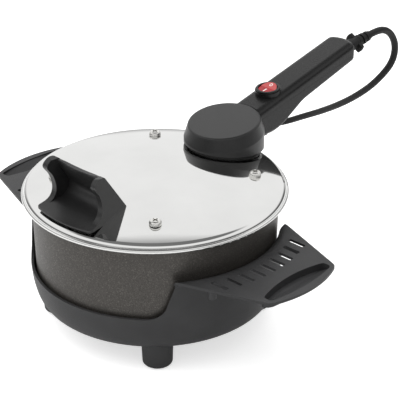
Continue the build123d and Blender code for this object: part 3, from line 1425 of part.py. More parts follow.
coil_edges = []
coil_in = Vector(0, CORD_D, 0)
coil_edges.append(Line(coil_point(0) + coil_in, coil_point(0), mode=Mode.PRIVATE))
for half in range(len(coil_radii) - 1):
    start = coil_point(half)
    end = coil_point(half + 1)
    along = Vector(0, -1 if half % 2 == 0 else 1, 0)
    if half == COIL_LAYER_HALVES:
        middle = (start + end) / 2 + along * ((end - start).length / 2)
        coil_edges.append(TangentArc(start, middle, tangent=along, mode=Mode.PRIVATE))
        coil_edges.append(TangentArc(middle, end, tangent=end - start, mode=Mode.PRIVATE))
    else:
        middle = (start + end) / 2 + along * ((end - start).length / 2)
        coil_edges.append(ThreePointArc(start, middle, end, mode=Mode.PRIVATE))
last = len(coil_radii) - 1
coil_edges.append(Line(coil_point(last), coil_point(last) + coil_in, mode=Mode.PRIVATE))

with BuildPart() as cord_coil:
    with BuildLine() as coil_path:
        add(coil_edges)
    with BuildSketch(Plane(origin=coil_point(0) + coil_in, z_dir=(0, -1, 0))):
        Circle(CORD_D / 2)
    sweep(path=Wire(coil_edges))
save(cord_coil, "cord_coil")

samples = []
for edge in coil_edges:
    steps = max(4, round(edge.length / 3))
    samples += [tuple(edge @ (step / steps)) for step in range(steps)]
coil_length = sum(edge.length for edge in coil_edges)
least_gap = min(
    sqrt(sum((a - b) ** 2 for a, b in zip(first, second))) - CORD_D
    for index, first in enumerate(samples)
    for second in samples[index + 8 :]
)
CORD_SECTION = pi * CORD_D**2 / 4
print("coil length", round(coil_length, 1))
print("coil volume ratio", cord_coil.part.volume / (coil_length * CORD_SECTION))
print("coil least gap to itself", round(least_gap, 2))

# Free part of the lead: straight out of the boot, over and down behind the pot, then to the coil
CORD_ROUTE = [
    tuple(CORD_EXIT),
    tuple(CORD_EXIT + GLAND_DIR * 14),
    (0, 332.7, 179.5),
    (0, 345.0, 170.0),
    (0, 352.3, 155.4),
    (-3.0, 352.5, 137.0),
    (-17.0, 351.0, 116.0),
    (-36.0, 352.8, 96.0),
    (-66.0, 358.0, 72.0),
    (-104.0, 369.5, 47.0),
    (-138.0, 375.5, 27.5),
    (-158.0, 375.5, 16.0),
    (-173.3, 368.3, 9.9),
    (-183.9, 354.4, 5.6),
    (-187.9, 334.9, 4.0),
    (-189.5, 300.0, 3.8),
    (-185.0, 264.0, 4.0),
    (-186.0, 228.0, 4.2),
    (COIL_X - COIL_OUTER_R, 192.0, COIL_LOW_Z),
    (COIL_X - COIL_OUTER_R, COIL_Y + CORD_D, COIL_LOW_Z),
]


def rounded_route(points):
    """Straight runs joined by tangent arcs, each as large as its two runs allow."""
    corners = [Vector(*point) for point in points]
    edges = []
    radii = []
    here = corners[0]
    for before, corner, after in zip(corners, corners[1:], corners[2:]):
        into = (corner - before).normalized()
        out = (after - corner).normalized()
        shorter = min((corner - before).length, (after - corner).length)
        half_turn = acos(max(-1, min(1, into.dot(out)))) / 2
        radii.append(0.45 * shorter / tan(half_turn))
        arc_start = corner - into * (0.45 * shorter)
        arc_end = corner + out * (0.45 * shorter)
        edges.append(Line(here, arc_start, mode=Mode.PRIVATE))
        edges.append(TangentArc(arc_start, arc_end, tangent=into, mode=Mode.PRIVATE))
        here = arc_end
    edges.append(Line(here, corners[-1], mode=Mode.PRIVATE))
    return edges, radii


route_edges, route_radii = rounded_route(CORD_ROUTE)
route_length = sum(edge.length for edge in route_edges)
with BuildPart() as cord:
    with BuildSketch(Plane(origin=CORD_EXIT, z_dir=GLAND_DIR)):
        Circle(CORD_D / 2)
    sweep(path=Wire(route_edges))
save(cord, "cord")
print("cord radii", [round(radius, 1) for radius in route_radii])
print("cord length", round(route_length, 1))
print("cord volume ratio", cord.part.volume / (route_length * CORD_SECTION))
print("cord route", [(round(x, 2), round(y - ORIGIN_Y, 2), round(z, 2)) for x, y, z in CORD_ROUTE])

TIE_T = 0.9
TIE_W = 8.0
TIE_PLAY = 1.0
with BuildPart() as coil_tie:
    tie_low_r = (coil_radii[3] + coil_radii[4]) / 2 - CORD_D / 2
    tie_high_r = (coil_radii[1] + coil_radii[2]) / 2 + CORD_D / 2
    tie_w = tie_high_r - tie_low_r + 2 * TIE_PLAY
    tie_h = coil_top_z + CORD_D / 2 - TIE_T
    tie_y = COIL_Y + (tie_low_r + tie_high_r) / 2
    tie_plane = Plane(origin=(COIL_X, tie_y, 0), x_dir=(0, 1, 0), z_dir=(1, 0, 0))
    with BuildSketch(tie_plane):
        with Locations((0, tie_h / 2 + TIE_T + 0.1)):
            RectangleRounded(tie_w + 2 * TIE_T, tie_h + 2 * TIE_T, 4)
            RectangleRounded(tie_w, tie_h, 3, mode=Mode.SUBTRACT)
    extrude(amount=TIE_W / 2, both=True)
save(coil_tie, "coil_tie")

# Plug: it lies on its back beside the coil, with its pins up
PLUG_R = 19.0
PLUG_H = 19.0
PLUG_SLEEVE = 24.0
PIN_D = 4.8
PIN_H = 19.0
PIN_X = 9.5
SLEEVE_START_R = CORD_D / 2 + 0.8
SLEEVE_END_R = CORD_D / 2 + 3.0
PLUG_GROOVE_W = 6.0
PLUG_GROOVE_T = 4.0
PLUG_GROOVE_L = 9.0
plug_in = coil_point(last) + coil_in
plug_y = plug_in.Y + PLUG_SLEEVE + PLUG_R - 3
with BuildPart() as plug_body:
    with Locations((plug_in.X, plug_y, 0)):
        Cylinder(PLUG_R, PLUG_H, align=(Align.CENTER, Align.CENTER, Align.MIN))
    fillet(plug_body.edges().group_by(Axis.Z)[0], 2)
    fillet(plug_body.edges().group_by(Axis.Z)[-1], 1)
    with BuildSketch(Plane(origin=plug_in, z_dir=(0, 1, 0))):
        Circle(SLEEVE_START_R)
    with BuildSketch(Plane(origin=plug_in + Vector(0, PLUG_SLEEVE, 0), z_dir=(0, 1, 0))):
        Circle(SLEEVE_END_R)
    loft()
    # The earth contacts' grooves.
    with Locations((plug_in.X, plug_y - PLUG_R, PLUG_H), (plug_in.X, plug_y + PLUG_R, PLUG_H)):
        Box(
            PLUG_GROOVE_W,
            PLUG_GROOVE_T,
            PLUG_GROOVE_L,
            align=(Align.CENTER, Align.CENTER, Align.MAX),
            mode=Mode.SUBTRACT,
        )
save(plug_body, "plug_body")

with BuildPart() as plug_pins:
    for x in (PIN_X, -PIN_X):
        with Locations((plug_in.X + x, plug_y, PLUG_H)):
            Cylinder(PIN_D / 2, PIN_H, align=(Align.CENTER, Align.CENTER, Align.MIN))
    fillet(plug_pins.edges().group_by(Axis.Z)[-1], 1.5)
save(plug_pins, "plug_pins")
print("origin y", ORIGIN_Y, "total lead", round(route_length + coil_length))
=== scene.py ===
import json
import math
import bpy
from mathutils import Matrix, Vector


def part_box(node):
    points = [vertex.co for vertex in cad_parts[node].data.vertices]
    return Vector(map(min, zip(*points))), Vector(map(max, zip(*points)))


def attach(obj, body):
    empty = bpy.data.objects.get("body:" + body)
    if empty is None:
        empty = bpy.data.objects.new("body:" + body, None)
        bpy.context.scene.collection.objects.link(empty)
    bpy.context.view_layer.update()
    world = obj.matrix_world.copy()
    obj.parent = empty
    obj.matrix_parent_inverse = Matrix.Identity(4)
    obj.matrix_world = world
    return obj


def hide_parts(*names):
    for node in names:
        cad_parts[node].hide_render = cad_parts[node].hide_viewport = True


bl_info = {
    "name": "Electric cooking pot",
    "version": (1, 0, 0),
    "blender": (4, 5, 0),
    "location": "View3D > Sidebar > Pot",
    "description": "Finishes the electric cooking pot and sets it on a white studio floor",
    "category": "Object",
}

import bpy
from bpy.props import FloatProperty, FloatVectorProperty, IntProperty, PointerProperty
from mathutils import Vector

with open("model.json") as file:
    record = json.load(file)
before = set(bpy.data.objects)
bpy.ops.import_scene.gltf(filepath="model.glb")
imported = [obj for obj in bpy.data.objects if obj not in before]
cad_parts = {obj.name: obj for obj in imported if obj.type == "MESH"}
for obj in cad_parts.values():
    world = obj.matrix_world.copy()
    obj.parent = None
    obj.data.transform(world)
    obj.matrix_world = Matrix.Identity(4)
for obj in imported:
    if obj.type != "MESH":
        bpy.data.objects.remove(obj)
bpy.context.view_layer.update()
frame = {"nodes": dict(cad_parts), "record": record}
NODES = frame["nodes"]

# The lead's route from the boot to the coil, as in the part's source, in metres
LEAD_ROUTE = [
    (0.0, 0.21006, 0.1815),
    (0.0, 0.22400, 0.18272),
    (0.0, 0.23923, 0.1795),
    (0.0, 0.25153, 0.1700),
    (0.0, 0.25883, 0.1554),
    (-0.0030, 0.25903, 0.1370),
    (-0.0170, 0.25753, 0.1160),
    (-0.0360, 0.25933, 0.0960),
    (-0.0660, 0.26453, 0.0720),
    (-0.1040, 0.27603, 0.0470),
    (-0.1380, 0.28203, 0.0275),
    (-0.1580, 0.28203, 0.0160),
    (-0.1733, 0.27483, 0.0099),
    (-0.1839, 0.26093, 0.0056),
    (-0.1879, 0.24143, 0.0040),
    (-0.1895, 0.20653, 0.0038),
    (-0.1850, 0.17053, 0.0040),
    (-0.1860, 0.13453, 0.0042),
    (-0.1830, 0.09853, 0.0046),
]

# The coil behind the pot: half turns inward in a low layer, then outward in a high one
COIL_CENTRE = (-0.138, 0.05653)
COIL_OUTER_R = 0.045
COIL_PITCH = 0.0077
COIL_LAYER_HALVES = 4
COIL_INNER_STEP = 0.0013
COIL_LOW_Z = 0.0046
COIL_HIGH_Z = COIL_LOW_Z + COIL_PITCH
COIL_END_RUN = 0.0072

# The lid stands on the pan's axis, and its lip reaches past the pan's rim
LIP_PAST_RIM = 0.005
PAN_LOW, PAN_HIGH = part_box("pan")
LID_Y = (PAN_LOW[1] + PAN_HIGH[1]) / 2
LID_EDGE_R = PAN_HIGH[0] + LIP_PAST_RIM
LID_LOW_Z, LID_TOP_Z = (corner[2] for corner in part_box("lid_shell"))

# The lid's sheet in section: a crowned top, a round shoulder, a band and a rolled lip.
# Places are radius and height, and angles are degrees from straight up, towards the rim.
LID_SHEET = 0.0009
LIP_R = 0.0019
LIP_AT = (LID_EDGE_R - LIP_R, LID_LOW_Z + LIP_R)
LIP_ANGLES = (-8.0, 262.0)
LIP_STEPS = 40
SHOULDER_R = 0.0052
SHOULDER_INSET = 0.00702
SHOULDER_DROP = 0.00515
SHOULDER_AT = (LID_EDGE_R - SHOULDER_INSET, LID_TOP_Z - SHOULDER_DROP)
SHOULDER_ANGLES = (12.0, 75.0)
SHOULDER_STEPS = 16
UNDERSIDE_STEPS = 8
CROWN_RINGS = 18
LID_TURNS = 420

# The fine turned rings of the polish fade out between these radii, before the shoulder
POLISH_ENDS_R = (0.100, 0.108)

# The screws in the lid: how far out they stand, and the height above which they show
LID_SCREWS_R = 0.088
SCREW_HEADS_Z = LID_TOP_Z - 0.0001

# Grains in a metre of moulded plastic
FINE_GRAIN = 1700.0
COARSE_GRAIN = 1500.0

# The rocker's pivot, and its bar and ring before and behind it
JOINTS = {joint["name"]: joint for joint in frame["record"]["behaviour"]["joints"]}
ROCKER_PIVOT_Y = JOINTS["switch_rock"]["pos_m"][1]
ROCKER_BAR_Y = ROCKER_PIVOT_Y - 0.00437
ROCKER_BAR_HALF = (0.0006, 0.0026)
ROCKER_RING_Y = ROCKER_PIVOT_Y + 0.00443
ROCKER_RING_R = 0.0014
ROCKER_RING_HALF = 0.0003

# Where the photograph was taken from: what the camera looks at, from how far and which way
CAMERA_AIM = (-0.01068, -0.02499, 0.08063)
CAMERA_DISTANCE = 1.26
CAMERA_AZIMUTH = 43.225
CAMERA_ELEVATION = 27.406
CAMERA_LENS = 122.2
CAMERA_SENSOR = 36.0

# The lamps: name, place, what it points at, side, and the setting that holds its power
LAMPS = (
    ("key lamp", (-0.75, -1.0, 1.5), (0.0, -0.05, 0.08), 1.4, "key_power"),
    ("top lamp", (-0.1, 0.1, 1.9), (0.0, 0.0, 0.1), 1.6, "top_power"),
)

# How much the floor glows in polished metal
MIRRORED_FLOOR = 0.1

# The walls that polished metal mirrors: where each zone begins and where it is full, and how
# much of the light it takes. A height of 0 is the horizon and 1 is overhead, and right and
# front are as the camera sees them.
WALL_RIGHT = (0.73, 0.68)
WALL_FRONT = (0.68, -0.73)
HORIZON = (0.02, 0.08)
HORIZON_LIGHT = 0.55
CEILING = (0.76, 0.84)
CEILING_LOSS = 0.8
WALLS_END = (0.24, 0.38)
RIGHT_WALL = (0.32, 0.58)
RIGHT_LOSS = 0.85
FRONT_WALL = (0.80, 0.93)
FRONT_LOSS = 0.7
LEFT_WALL = (-0.35, -0.75)
LEFT_LOSS = 0.8


class PotColours(bpy.types.PropertyGroup):
    """Colours of the pot's own finishes."""

    plastic: FloatVectorProperty(
        name="Grip and handle",
        description="Colour of the grip, the terminal housing and the handle",
        subtype="COLOR",
        size=3,
        default=(0.013, 0.013, 0.013),
    )
    stand: FloatVectorProperty(
        name="Stand",
        description="Colour of the stand and its wing handles",
        subtype="COLOR",
        size=3,
        default=(0.040, 0.040, 0.041),
    )
    pan: FloatVectorProperty(
        name="Pan coating",
        description="Colour of the pan's non-stick coating",
        subtype="COLOR",
        size=3,
        default=(0.066, 0.061, 0.055),
    )
    lid: FloatVectorProperty(
        name="Lid",
        description="Tint of the polished lid",
        subtype="COLOR",
        size=3,
        default=(0.80, 0.80, 0.79),
    )
    rocker: FloatVectorProperty(
        name="Rocker",
        description="Colour of the switch's rocker",
        subtype="COLOR",
        size=3,
        default=(0.30, 0.003, 0.008),
    )
    rubber: FloatVectorProperty(
        name="Lead",
        description="Colour of the lead, its boot and its plug",
        subtype="COLOR",
        size=3,
        default=(0.008, 0.008, 0.008),
    )


class PotLid(bpy.types.PropertyGroup):
    """Shape of the lid's top."""

    crown: FloatProperty(
        name="Crown",
        description="How far the lid's middle stands above its edge",
        unit="LENGTH",
        default=0.0095,
    )
    fullness: FloatProperty(
        name="Fullness",
        description="2 is an even bow, more is flatter in the middle",
        default=2.5,
    )


class PotLead(bpy.types.PropertyGroup):
    """Sizes of the free lead."""

    diameter: FloatProperty(
        name="Diameter",
        description="Outer diameter of the sheath",
        unit="LENGTH",
        default=0.0072,
    )
    length: FloatProperty(
        name="Length",
        description="Length from the boot to the plug, with the coil",
        unit="LENGTH",
        default=1.55,
    )
    coil_steps: IntProperty(
        name="Points in half a turn",
        description="Control points in each half turn of the coil",
        default=8,
        min=6,
    )


class PotStage(bpy.types.PropertyGroup):
    """Floor and light of the studio."""

    floor_size: FloatProperty(
        name="Floor",
        description="Side of the square floor",
        unit="LENGTH",
        default=30.0,
    )
    floor_glow: FloatProperty(
        name="Floor whiteness",
        description="How much of the floor's white is the same in light and shadow",
        subtype="FACTOR",
        default=0.62,
    )
    world_low: FloatProperty(
        name="Low light",
        description="Strength of the even light at the horizon",
        default=0.20,
    )
    world_high: FloatProperty(
        name="High light",
        description="Strength of the even light overhead",
        default=1.15,
    )
    key_power: FloatProperty(
        name="Key lamp",
        description="Power of the large lamp in front, to the left",
        unit="POWER",
        default=10.0,
    )
    top_power: FloatProperty(
        name="Top lamp",
        description="Power of the lamp overhead",
        unit="POWER",
        default=12.0,
    )


class Wire:
    """The output of a shader node, with operators that add the Math nodes they need."""

    def __init__(self, finish, socket):
        self.finish = finish
        self.socket = socket

    def maths(self, operation, *values):
        return self.finish.node("ShaderNodeMath", {"operation": operation}, dict(enumerate(values)))

    def __add__(self, other):
        return self.maths("ADD", self, other)

    __radd__ = __add__

    def __sub__(self, other):
        return self.maths("SUBTRACT", self, other)

    def __rsub__(self, other):
        return self.maths("SUBTRACT", other, self)

    def __mul__(self, other):
        return self.maths("MULTIPLY", self, other)

    __rmul__ = __mul__

    def root(self):
        return self.maths("SQRT", self)

    def within(self, half):
        """1 where the value is nearer to 0 than the half-width, with a soft edge."""
        return 1.0 - self.maths("ABSOLUTE", self).between(half * 0.85, half * 1.15)

    def either(self, other):
        return self.maths("MAXIMUM", self, other)

    def between(self, low, high):
        """0 at the low value and below, 1 at the high value and above."""
        sockets = {"Value": self, "From Min": low, "From Max": high}
        return self.finish.node("ShaderNodeMapRange", {"clamp": True}, sockets)

    def blend(self, first, second):
        """A colour that goes from the first to the second as the value goes from 0 to 1."""
        settings = {"data_type": "RGBA", "clamp_factor": True}
        return self.finish.node("ShaderNodeMix", settings, {0: self, 6: first, 7: second}, 2)

    def mottle(self, first, second):
        """Two colours in soft patches, where the value is a noise."""
        return self.between(0.3, 0.7).blend(first, second)


class Finish:
    """The nodes of a material or world: node adds one, and surface or end closes the tree."""

    def __init__(self, name, kind="materials"):
        self.block = getattr(bpy.data, kind).new(name)
        self.block.use_nodes = True
        self.tree = self.block.node_tree
        self.tree.nodes.clear()

    def node(self, kind, settings=None, sockets=None, output=0):
        made = self.tree.nodes.new(kind)
        for key, value in (settings or {}).items():
            setattr(made, key, value)
        for key, value in (sockets or {}).items():
            if isinstance(value, Wire):
                self.tree.links.new(value.socket, made.inputs[key])
            elif made.inputs[key].type == "RGBA" and len(value) == 3:
                made.inputs[key].default_value = (*value, 1.0)
            else:
                made.inputs[key].default_value = value
        return Wire(self, made.outputs[output])

    def place(self, kind="Object"):
        """Where a point of the surface is, in metres, or which way a ray of the world goes."""
        return self.node("ShaderNodeTexCoord", output=kind)

    def axes(self, kind="Object"):
        """The three coordinates of a place as values of their own."""
        apart = self.node("ShaderNodeSeparateXYZ", None, {"Vector": self.place(kind)}).socket.node
        return [Wire(self, apart.outputs[axis]) for axis in "XYZ"]

    def stretched(self, *scales):
        """The place drawn in or out along each axis, for marks that run one way."""
        return self.node("ShaderNodeMapping", None, {"Vector": self.place(), "Scale": scales})

    def noise(self, scale, detail=2.0, roughness=0.5, at=None):
        sockets = {"Scale": scale, "Detail": detail, "Roughness": roughness}
        sockets["Vector"] = at or self.place()
        return self.node("ShaderNodeTexNoise", {"noise_dimensions": "3D"}, sockets)

    def ray(self, kind):
        """1 for rays of a kind, 0 for the others."""
        return self.node("ShaderNodeLightPath", output=kind)

    def surface(self, colour, roughness, bump, depth, **plain):
        """A material with a bump of a depth in metres; plain holds its constant sockets."""
        sockets = {"Base Color": colour, "Roughness": roughness, **plain}
        sockets["Normal"] = self.node("ShaderNodeBump", None, {"Height": bump, "Distance": depth})
        return self.end(self.node("ShaderNodeBsdfPrincipled", None, sockets))

    def end(self, shader, kind="ShaderNodeOutputMaterial"):
        """Joins the last shader to the output and gives back the material or world."""
        last = self.tree.nodes.new(kind)
        self.tree.links.new(shader.socket, last.inputs["Surface"])
        return self.block


def tinted(colour, factor):
    """A colour made lighter or darker."""
    return tuple(min(1.0, part * factor) for part in colour)


def moulded_plastic(name, colour, roughness, grain, gloss=0.25):
    """Spark-eroded plastic: a fine even grain, broad faint clouds in its shine."""
    finish = Finish(name)
    fine = finish.noise(grain, detail=3.0, roughness=0.6)
    broad = finish.noise(28.0)
    shade = broad.mottle(tinted(colour, 0.86), tinted(colour, 1.14))
    shine = roughness + (broad - 0.5) * 0.10 + (fine - 0.5) * 0.10
    return finish.surface(shade, shine, fine, 0.00012, **{"Specular IOR Level": gloss})


def glossy_plastic(name, colour, roughness):
    """Polished moulded plastic with the faint waviness of its mould."""
    finish = Finish(name)
    wave = finish.noise(90.0, detail=1.0)
    shade = wave.mottle(tinted(colour, 0.9), tinted(colour, 1.1))
    shine = roughness + (wave - 0.5) * 0.06
    return finish.surface(shade, shine, wave, 0.00003, **{"Specular IOR Level": 0.3})


def rocker_plastic(name, colour):
    """Clear red plastic with a painted pale reflection on the half behind its pivot, and a white bar
    and ring.
    """
    finish = Finish(name)
    across, along, _ = finish.axes()
    bar = across.within(ROCKER_BAR_HALF[0]) * (along - ROCKER_BAR_Y).within(ROCKER_BAR_HALF[1])
    far = along - ROCKER_RING_Y
    ring = ((across * across + far * far).root() - ROCKER_RING_R).within(ROCKER_RING_HALF)
    wave = finish.noise(240.0)
    deep = wave.mottle(tinted(colour, 0.75), tinted(colour, 1.25))
    # Painted reflection: the half behind the pivot is painted pale, as if it mirrored the bright
    # studio
    painted_pale_reflection = (0.45, 0.08, 0.08)
    mark = (0.88, 0.84, 0.82)
    behind = (along - ROCKER_PIVOT_Y).between(-0.0005, 0.0005)
    shade = bar.either(ring).blend(behind.blend(deep, painted_pale_reflection), mark)
    shine = 0.16 + wave * 0.08
    return finish.surface(shade, shine, wave, 0.00003, **{"Specular IOR Level": 0.35})


def lead_rubber(name, colour):
    """Soft sheath: dull, with a dusty bloom on its high spots."""
    finish = Finish(name)
    fine = finish.noise(2200.0)
    bloom = finish.noise(160.0, detail=3.0, roughness=0.6).between(0.45, 0.75)
    shade = bloom.blend(colour, tinted(colour, 1.7))
    shine = 0.46 + bloom * 0.14
    return finish.surface(shade, shine, fine, 0.00006, **{"Specular IOR Level": 0.25})


def polished_lid(name, colour):
    """Polished sheet with very fine turned rings on its top and a few soft smears."""
    finish = Finish(name)
    across, along, _ = finish.axes()
    along = along - LID_Y
    out = (across * across + along * along).root()
    rings = finish.noise(3200.0, at=finish.node("ShaderNodeCombineXYZ", None, {"X": out}))
    smear = finish.noise(16.0, detail=3.0, roughness=0.6)
    shine = 0.03 + rings * 0.03 + smear.between(0.5, 0.8) * 0.04
    shade = smear.between(0.35, 0.7).blend(colour, tinted(colour, 0.95))
    turned = rings * (1.0 - out.between(*POLISH_ENDS_R))
    return finish.surface(shade, shine, turned, 0.000002, Metallic=1.0)


def satin_sheet(name, colour, roughness):
    """Drawn or plated metal with fine scratches."""
    finish = Finish(name)
    scratch = finish.noise(700.0, detail=3.0, roughness=0.6, at=finish.stretched(1.0, 9.0, 1.0))
    shade = scratch.mottle(tinted(colour, 0.88), tinted(colour, 1.08))
    shine = roughness + (scratch - 0.5) * 0.16
    return finish.surface(shade, shine, scratch, 0.00002, Metallic=1.0)


def pan_coating(name, colour):
    """Sprayed non-stick coating: warm dark grey with a metallic speckle."""
    finish = Finish(name)
    sockets = {"Vector": finish.place(), "Scale": 1500.0}
    cells = finish.node("ShaderNodeTexVoronoi", {"feature": "F1"}, sockets, "Color")
    flake = finish.node("ShaderNodeSeparateColor", None, {"Color": cells}).between(0.80, 0.98)
    spray = finish.noise(1100.0, detail=3.0, roughness=0.6)
    ground = spray.between(0.35, 0.65).blend(tinted(colour, 0.72), tinted(colour, 1.2))
    shade = (flake * 0.45).blend(ground, tinted(colour, 2.6))
    return finish.surface(shade, 0.44 - flake * 0.12, spray, 0.00003, Metallic=0.45)


def mineral_wool(name):
    """Pressed fibre felt."""
    finish = Finish(name)
    fibre = finish.noise(900.0, detail=5.0, roughness=0.7, at=finish.stretched(1.0, 1.0, 6.0))
    shade = fibre.mottle((0.52, 0.47, 0.34), (0.80, 0.76, 0.62))
    return finish.surface(shade, 0.95, fibre, 0.0008)


def glazed_resin(name, colour):
    """Cream insulating resin, slightly mottled."""
    finish = Finish(name)
    cloud = finish.noise(240.0, detail=3.0)
    shade = cloud.mottle(tinted(colour, 0.92), colour)
    return finish.surface(shade, 0.32 + cloud * 0.1, cloud, 0.00005)


def earth_stripes(name):
    """Green insulation with a yellow stripe on its upper side."""
    finish = Finish(name)
    facing = finish.node("ShaderNodeNewGeometry", output="Normal")
    upward = finish.node("ShaderNodeSeparateXYZ", None, {"Vector": facing}, "Z")
    shade = upward.between(0.30, 0.36).blend((0.03, 0.25, 0.04), (0.75, 0.62, 0.03))
    wave = finish.noise(200.0)
    return finish.surface(shade, 0.36 + wave * 0.1, wave, 0.00002)


def finish_piece(piece, material, angle=32.0):
    """Gives a piece a material, and smooth shading but for corners sharper than the angle."""
    mesh = piece.data
    mesh.materials.clear()
    mesh.materials.append(material)
    mesh.shade_smooth()
    mesh.set_sharp_from_angle(angle=math.radians(angle))


def dress(names, material):
    """Finishes CAD nodes."""
    for name in names:
        finish_piece(NODES[name], material)


class PieceOperator(bpy.types.Operator):
    """What the operators of the pot's pieces share."""

    bl_options = {"REGISTER", "UNDO"}

    @property
    def colours(self):
        return bpy.context.scene.pot_colours


class POT_OT_stand(PieceOperator):
    """Finishes the stand, its wing handles and its foot pads"""

    bl_idname = "pot.stand"
    bl_label = "Stand"

    def execute(self, context):
        dress(["stand"], moulded_plastic("stand plastic", self.colours.stand, 0.42, COARSE_GRAIN))
        dress(["foot_pads"], lead_rubber("foot rubber", tinted(self.colours.rubber, 1.2)))
        return {"FINISHED"}


class POT_OT_pan(PieceOperator):
    """Finishes the pan inside and out"""

    bl_idname = "pot.pan"
    bl_label = "Pan"

    def execute(self, context):
        dress(["pan"], pan_coating("pan coating", self.colours.pan))
        return {"FINISHED"}


class POT_OT_lid(PieceOperator):
    """Finishes the lid's shell, its inner cover and the screws that join them"""

    bl_idname = "pot.lid"
    bl_label = "Lid"

    def rise(self, radius, shape):
        """How far the crown lifts the lid's top at a radius."""
        edge = SHOULDER_AT[0] + SHOULDER_R * math.sin(math.radians(SHOULDER_ANGLES[0]))
        return shape.crown * max(0.0, 1.0 - (radius / edge) ** shape.fullness)

    def arc(self, centre, radius, first, last, steps):
        """Points round a centre, from the first angle to the last."""
        points = []
        for step in range(steps + 1):
            turn = math.radians(first + (last - first) * step / steps)
            points.append((centre[0] + radius * math.sin(turn), centre[1] + radius * math.cos(turn)))
        return points

    def outline(self, shape):
        """The section's points: crown, shoulder, rolled lip, then back under the sheet."""
        shoulder = self.arc(SHOULDER_AT, SHOULDER_R, *SHOULDER_ANGLES, SHOULDER_STEPS)
        lip = self.arc(LIP_AT, LIP_R, *LIP_ANGLES, LIP_STEPS)
        under = self.arc(SHOULDER_AT, SHOULDER_R - LID_SHEET, *SHOULDER_ANGLES[::-1], UNDERSIDE_STEPS)
        crown, underside = [], []
        for ring in range(1, CROWN_RINGS):
            radius = shoulder[0][0] * ring / CROWN_RINGS
            lift = self.rise(radius, shape)
            crown.append((radius, shoulder[0][1] + lift))
            underside.append((radius, under[-1][1] + lift))
        return crown + shoulder + lip + under + underside[::-1]

    def turned(self, outline):
        """Points and faces of an outline turned about the lid's axis and closed at both ends."""
        points, faces = [], []
        for turn in range(LID_TURNS):
            angle = math.tau * turn / LID_TURNS
            for radius, height in outline:
                points.append((radius * math.sin(angle), radius * math.cos(angle) + LID_Y, height))
        count = len(outline)
        for turn in range(LID_TURNS):
            here, there = turn * count, (turn + 1) % LID_TURNS * count
            for place in range(count - 1):
                faces.append((here + place, there + place, there + place + 1, here + place + 1))
        for end in (0, count - 1):
            middle = len(points)
            points.append((0.0, LID_Y, outline[end][1]))
            for turn in range(LID_TURNS):
                here, there = turn * count + end, (turn + 1) % LID_TURNS * count + end
                faces.append((middle, there, here) if end == 0 else (middle, here, there))
        return points, faces

    def crowned_lid(self, shape):
        """The lid's sheet with its crown."""
        points, faces = self.turned(self.outline(shape))
        mesh = bpy.data.meshes.new("crowned_lid")
        mesh.from_pydata(points, [], faces)
        piece = bpy.data.objects.new("crowned_lid", mesh)
        bpy.context.scene.collection.objects.link(piece)
        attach(piece, "lid")
        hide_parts("lid_shell")
        return piece

    def crown_screws(self, shape):
        """The lid's screws with their heads up on the crown."""
        mesh = NODES["lid_screws"].data.copy()
        lift = self.rise(LID_SCREWS_R, shape)
        for corner in mesh.vertices:
            if corner.co.z > SCREW_HEADS_Z:
                corner.co.z += lift
        piece = bpy.data.objects.new("crown_screws", mesh)
        bpy.context.scene.collection.objects.link(piece)
        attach(piece, "lid")
        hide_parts("lid_screws")
        return piece

    def execute(self, context):
        shape = context.scene.pot_lid
        finish_piece(self.crowned_lid(shape), polished_lid("lid metal", self.colours.lid), 50.0)
        plated = satin_sheet("plated screws", (0.86, 0.85, 0.82), 0.32)
        finish_piece(self.crown_screws(shape), plated)
        dress(["lid_nuts"], plated)
        dress(["inner_cover"], satin_sheet("inner cover metal", (0.52, 0.52, 0.51), 0.38))
        return {"FINISHED"}


class POT_OT_grip(PieceOperator):
    """Finishes the scooped front grip"""

    bl_idname = "pot.grip"
    bl_label = "Front grip"

    def execute(self, context):
        plastic = moulded_plastic("grip plastic", self.colours.plastic, 0.38, FINE_GRAIN, 0.5)
        dress(["front_grip", "grip_spacer"], plastic)
        return {"FINISHED"}


class POT_OT_handle(PieceOperator):
    """Finishes the terminal housing and the long handle"""

    bl_idname = "pot.handle"
    bl_label = "Housing and handle"

    def execute(self, context):
        housing = moulded_plastic("housing plastic", self.colours.plastic, 0.34, FINE_GRAIN, 0.5)
        dress(["knob_cap", "knob_spacer"], housing)
        # Painted shade: the handle gets the housing's plastic made darker, a shaded copy of the same
        # black plastic
        darker = tinted(self.colours.plastic, 0.6)
        handle = moulded_plastic("handle plastic", darker, 0.27, FINE_GRAIN, 0.3)
        dress(["arm_upper", "arm_lower"], handle)
        return {"FINISHED"}


class POT_OT_switch(PieceOperator):
    """Finishes the rocker switch"""

    bl_idname = "pot.switch"
    bl_label = "Rocker switch"

    def execute(self, context):
        black = glossy_plastic("bezel plastic", (0.005, 0.005, 0.005), 0.16)
        dress(["switch_bezel", "switch_body"], black)
        dress(["switch_rocker"], rocker_plastic("rocker plastic", self.colours.rocker))
        return {"FINISHED"}


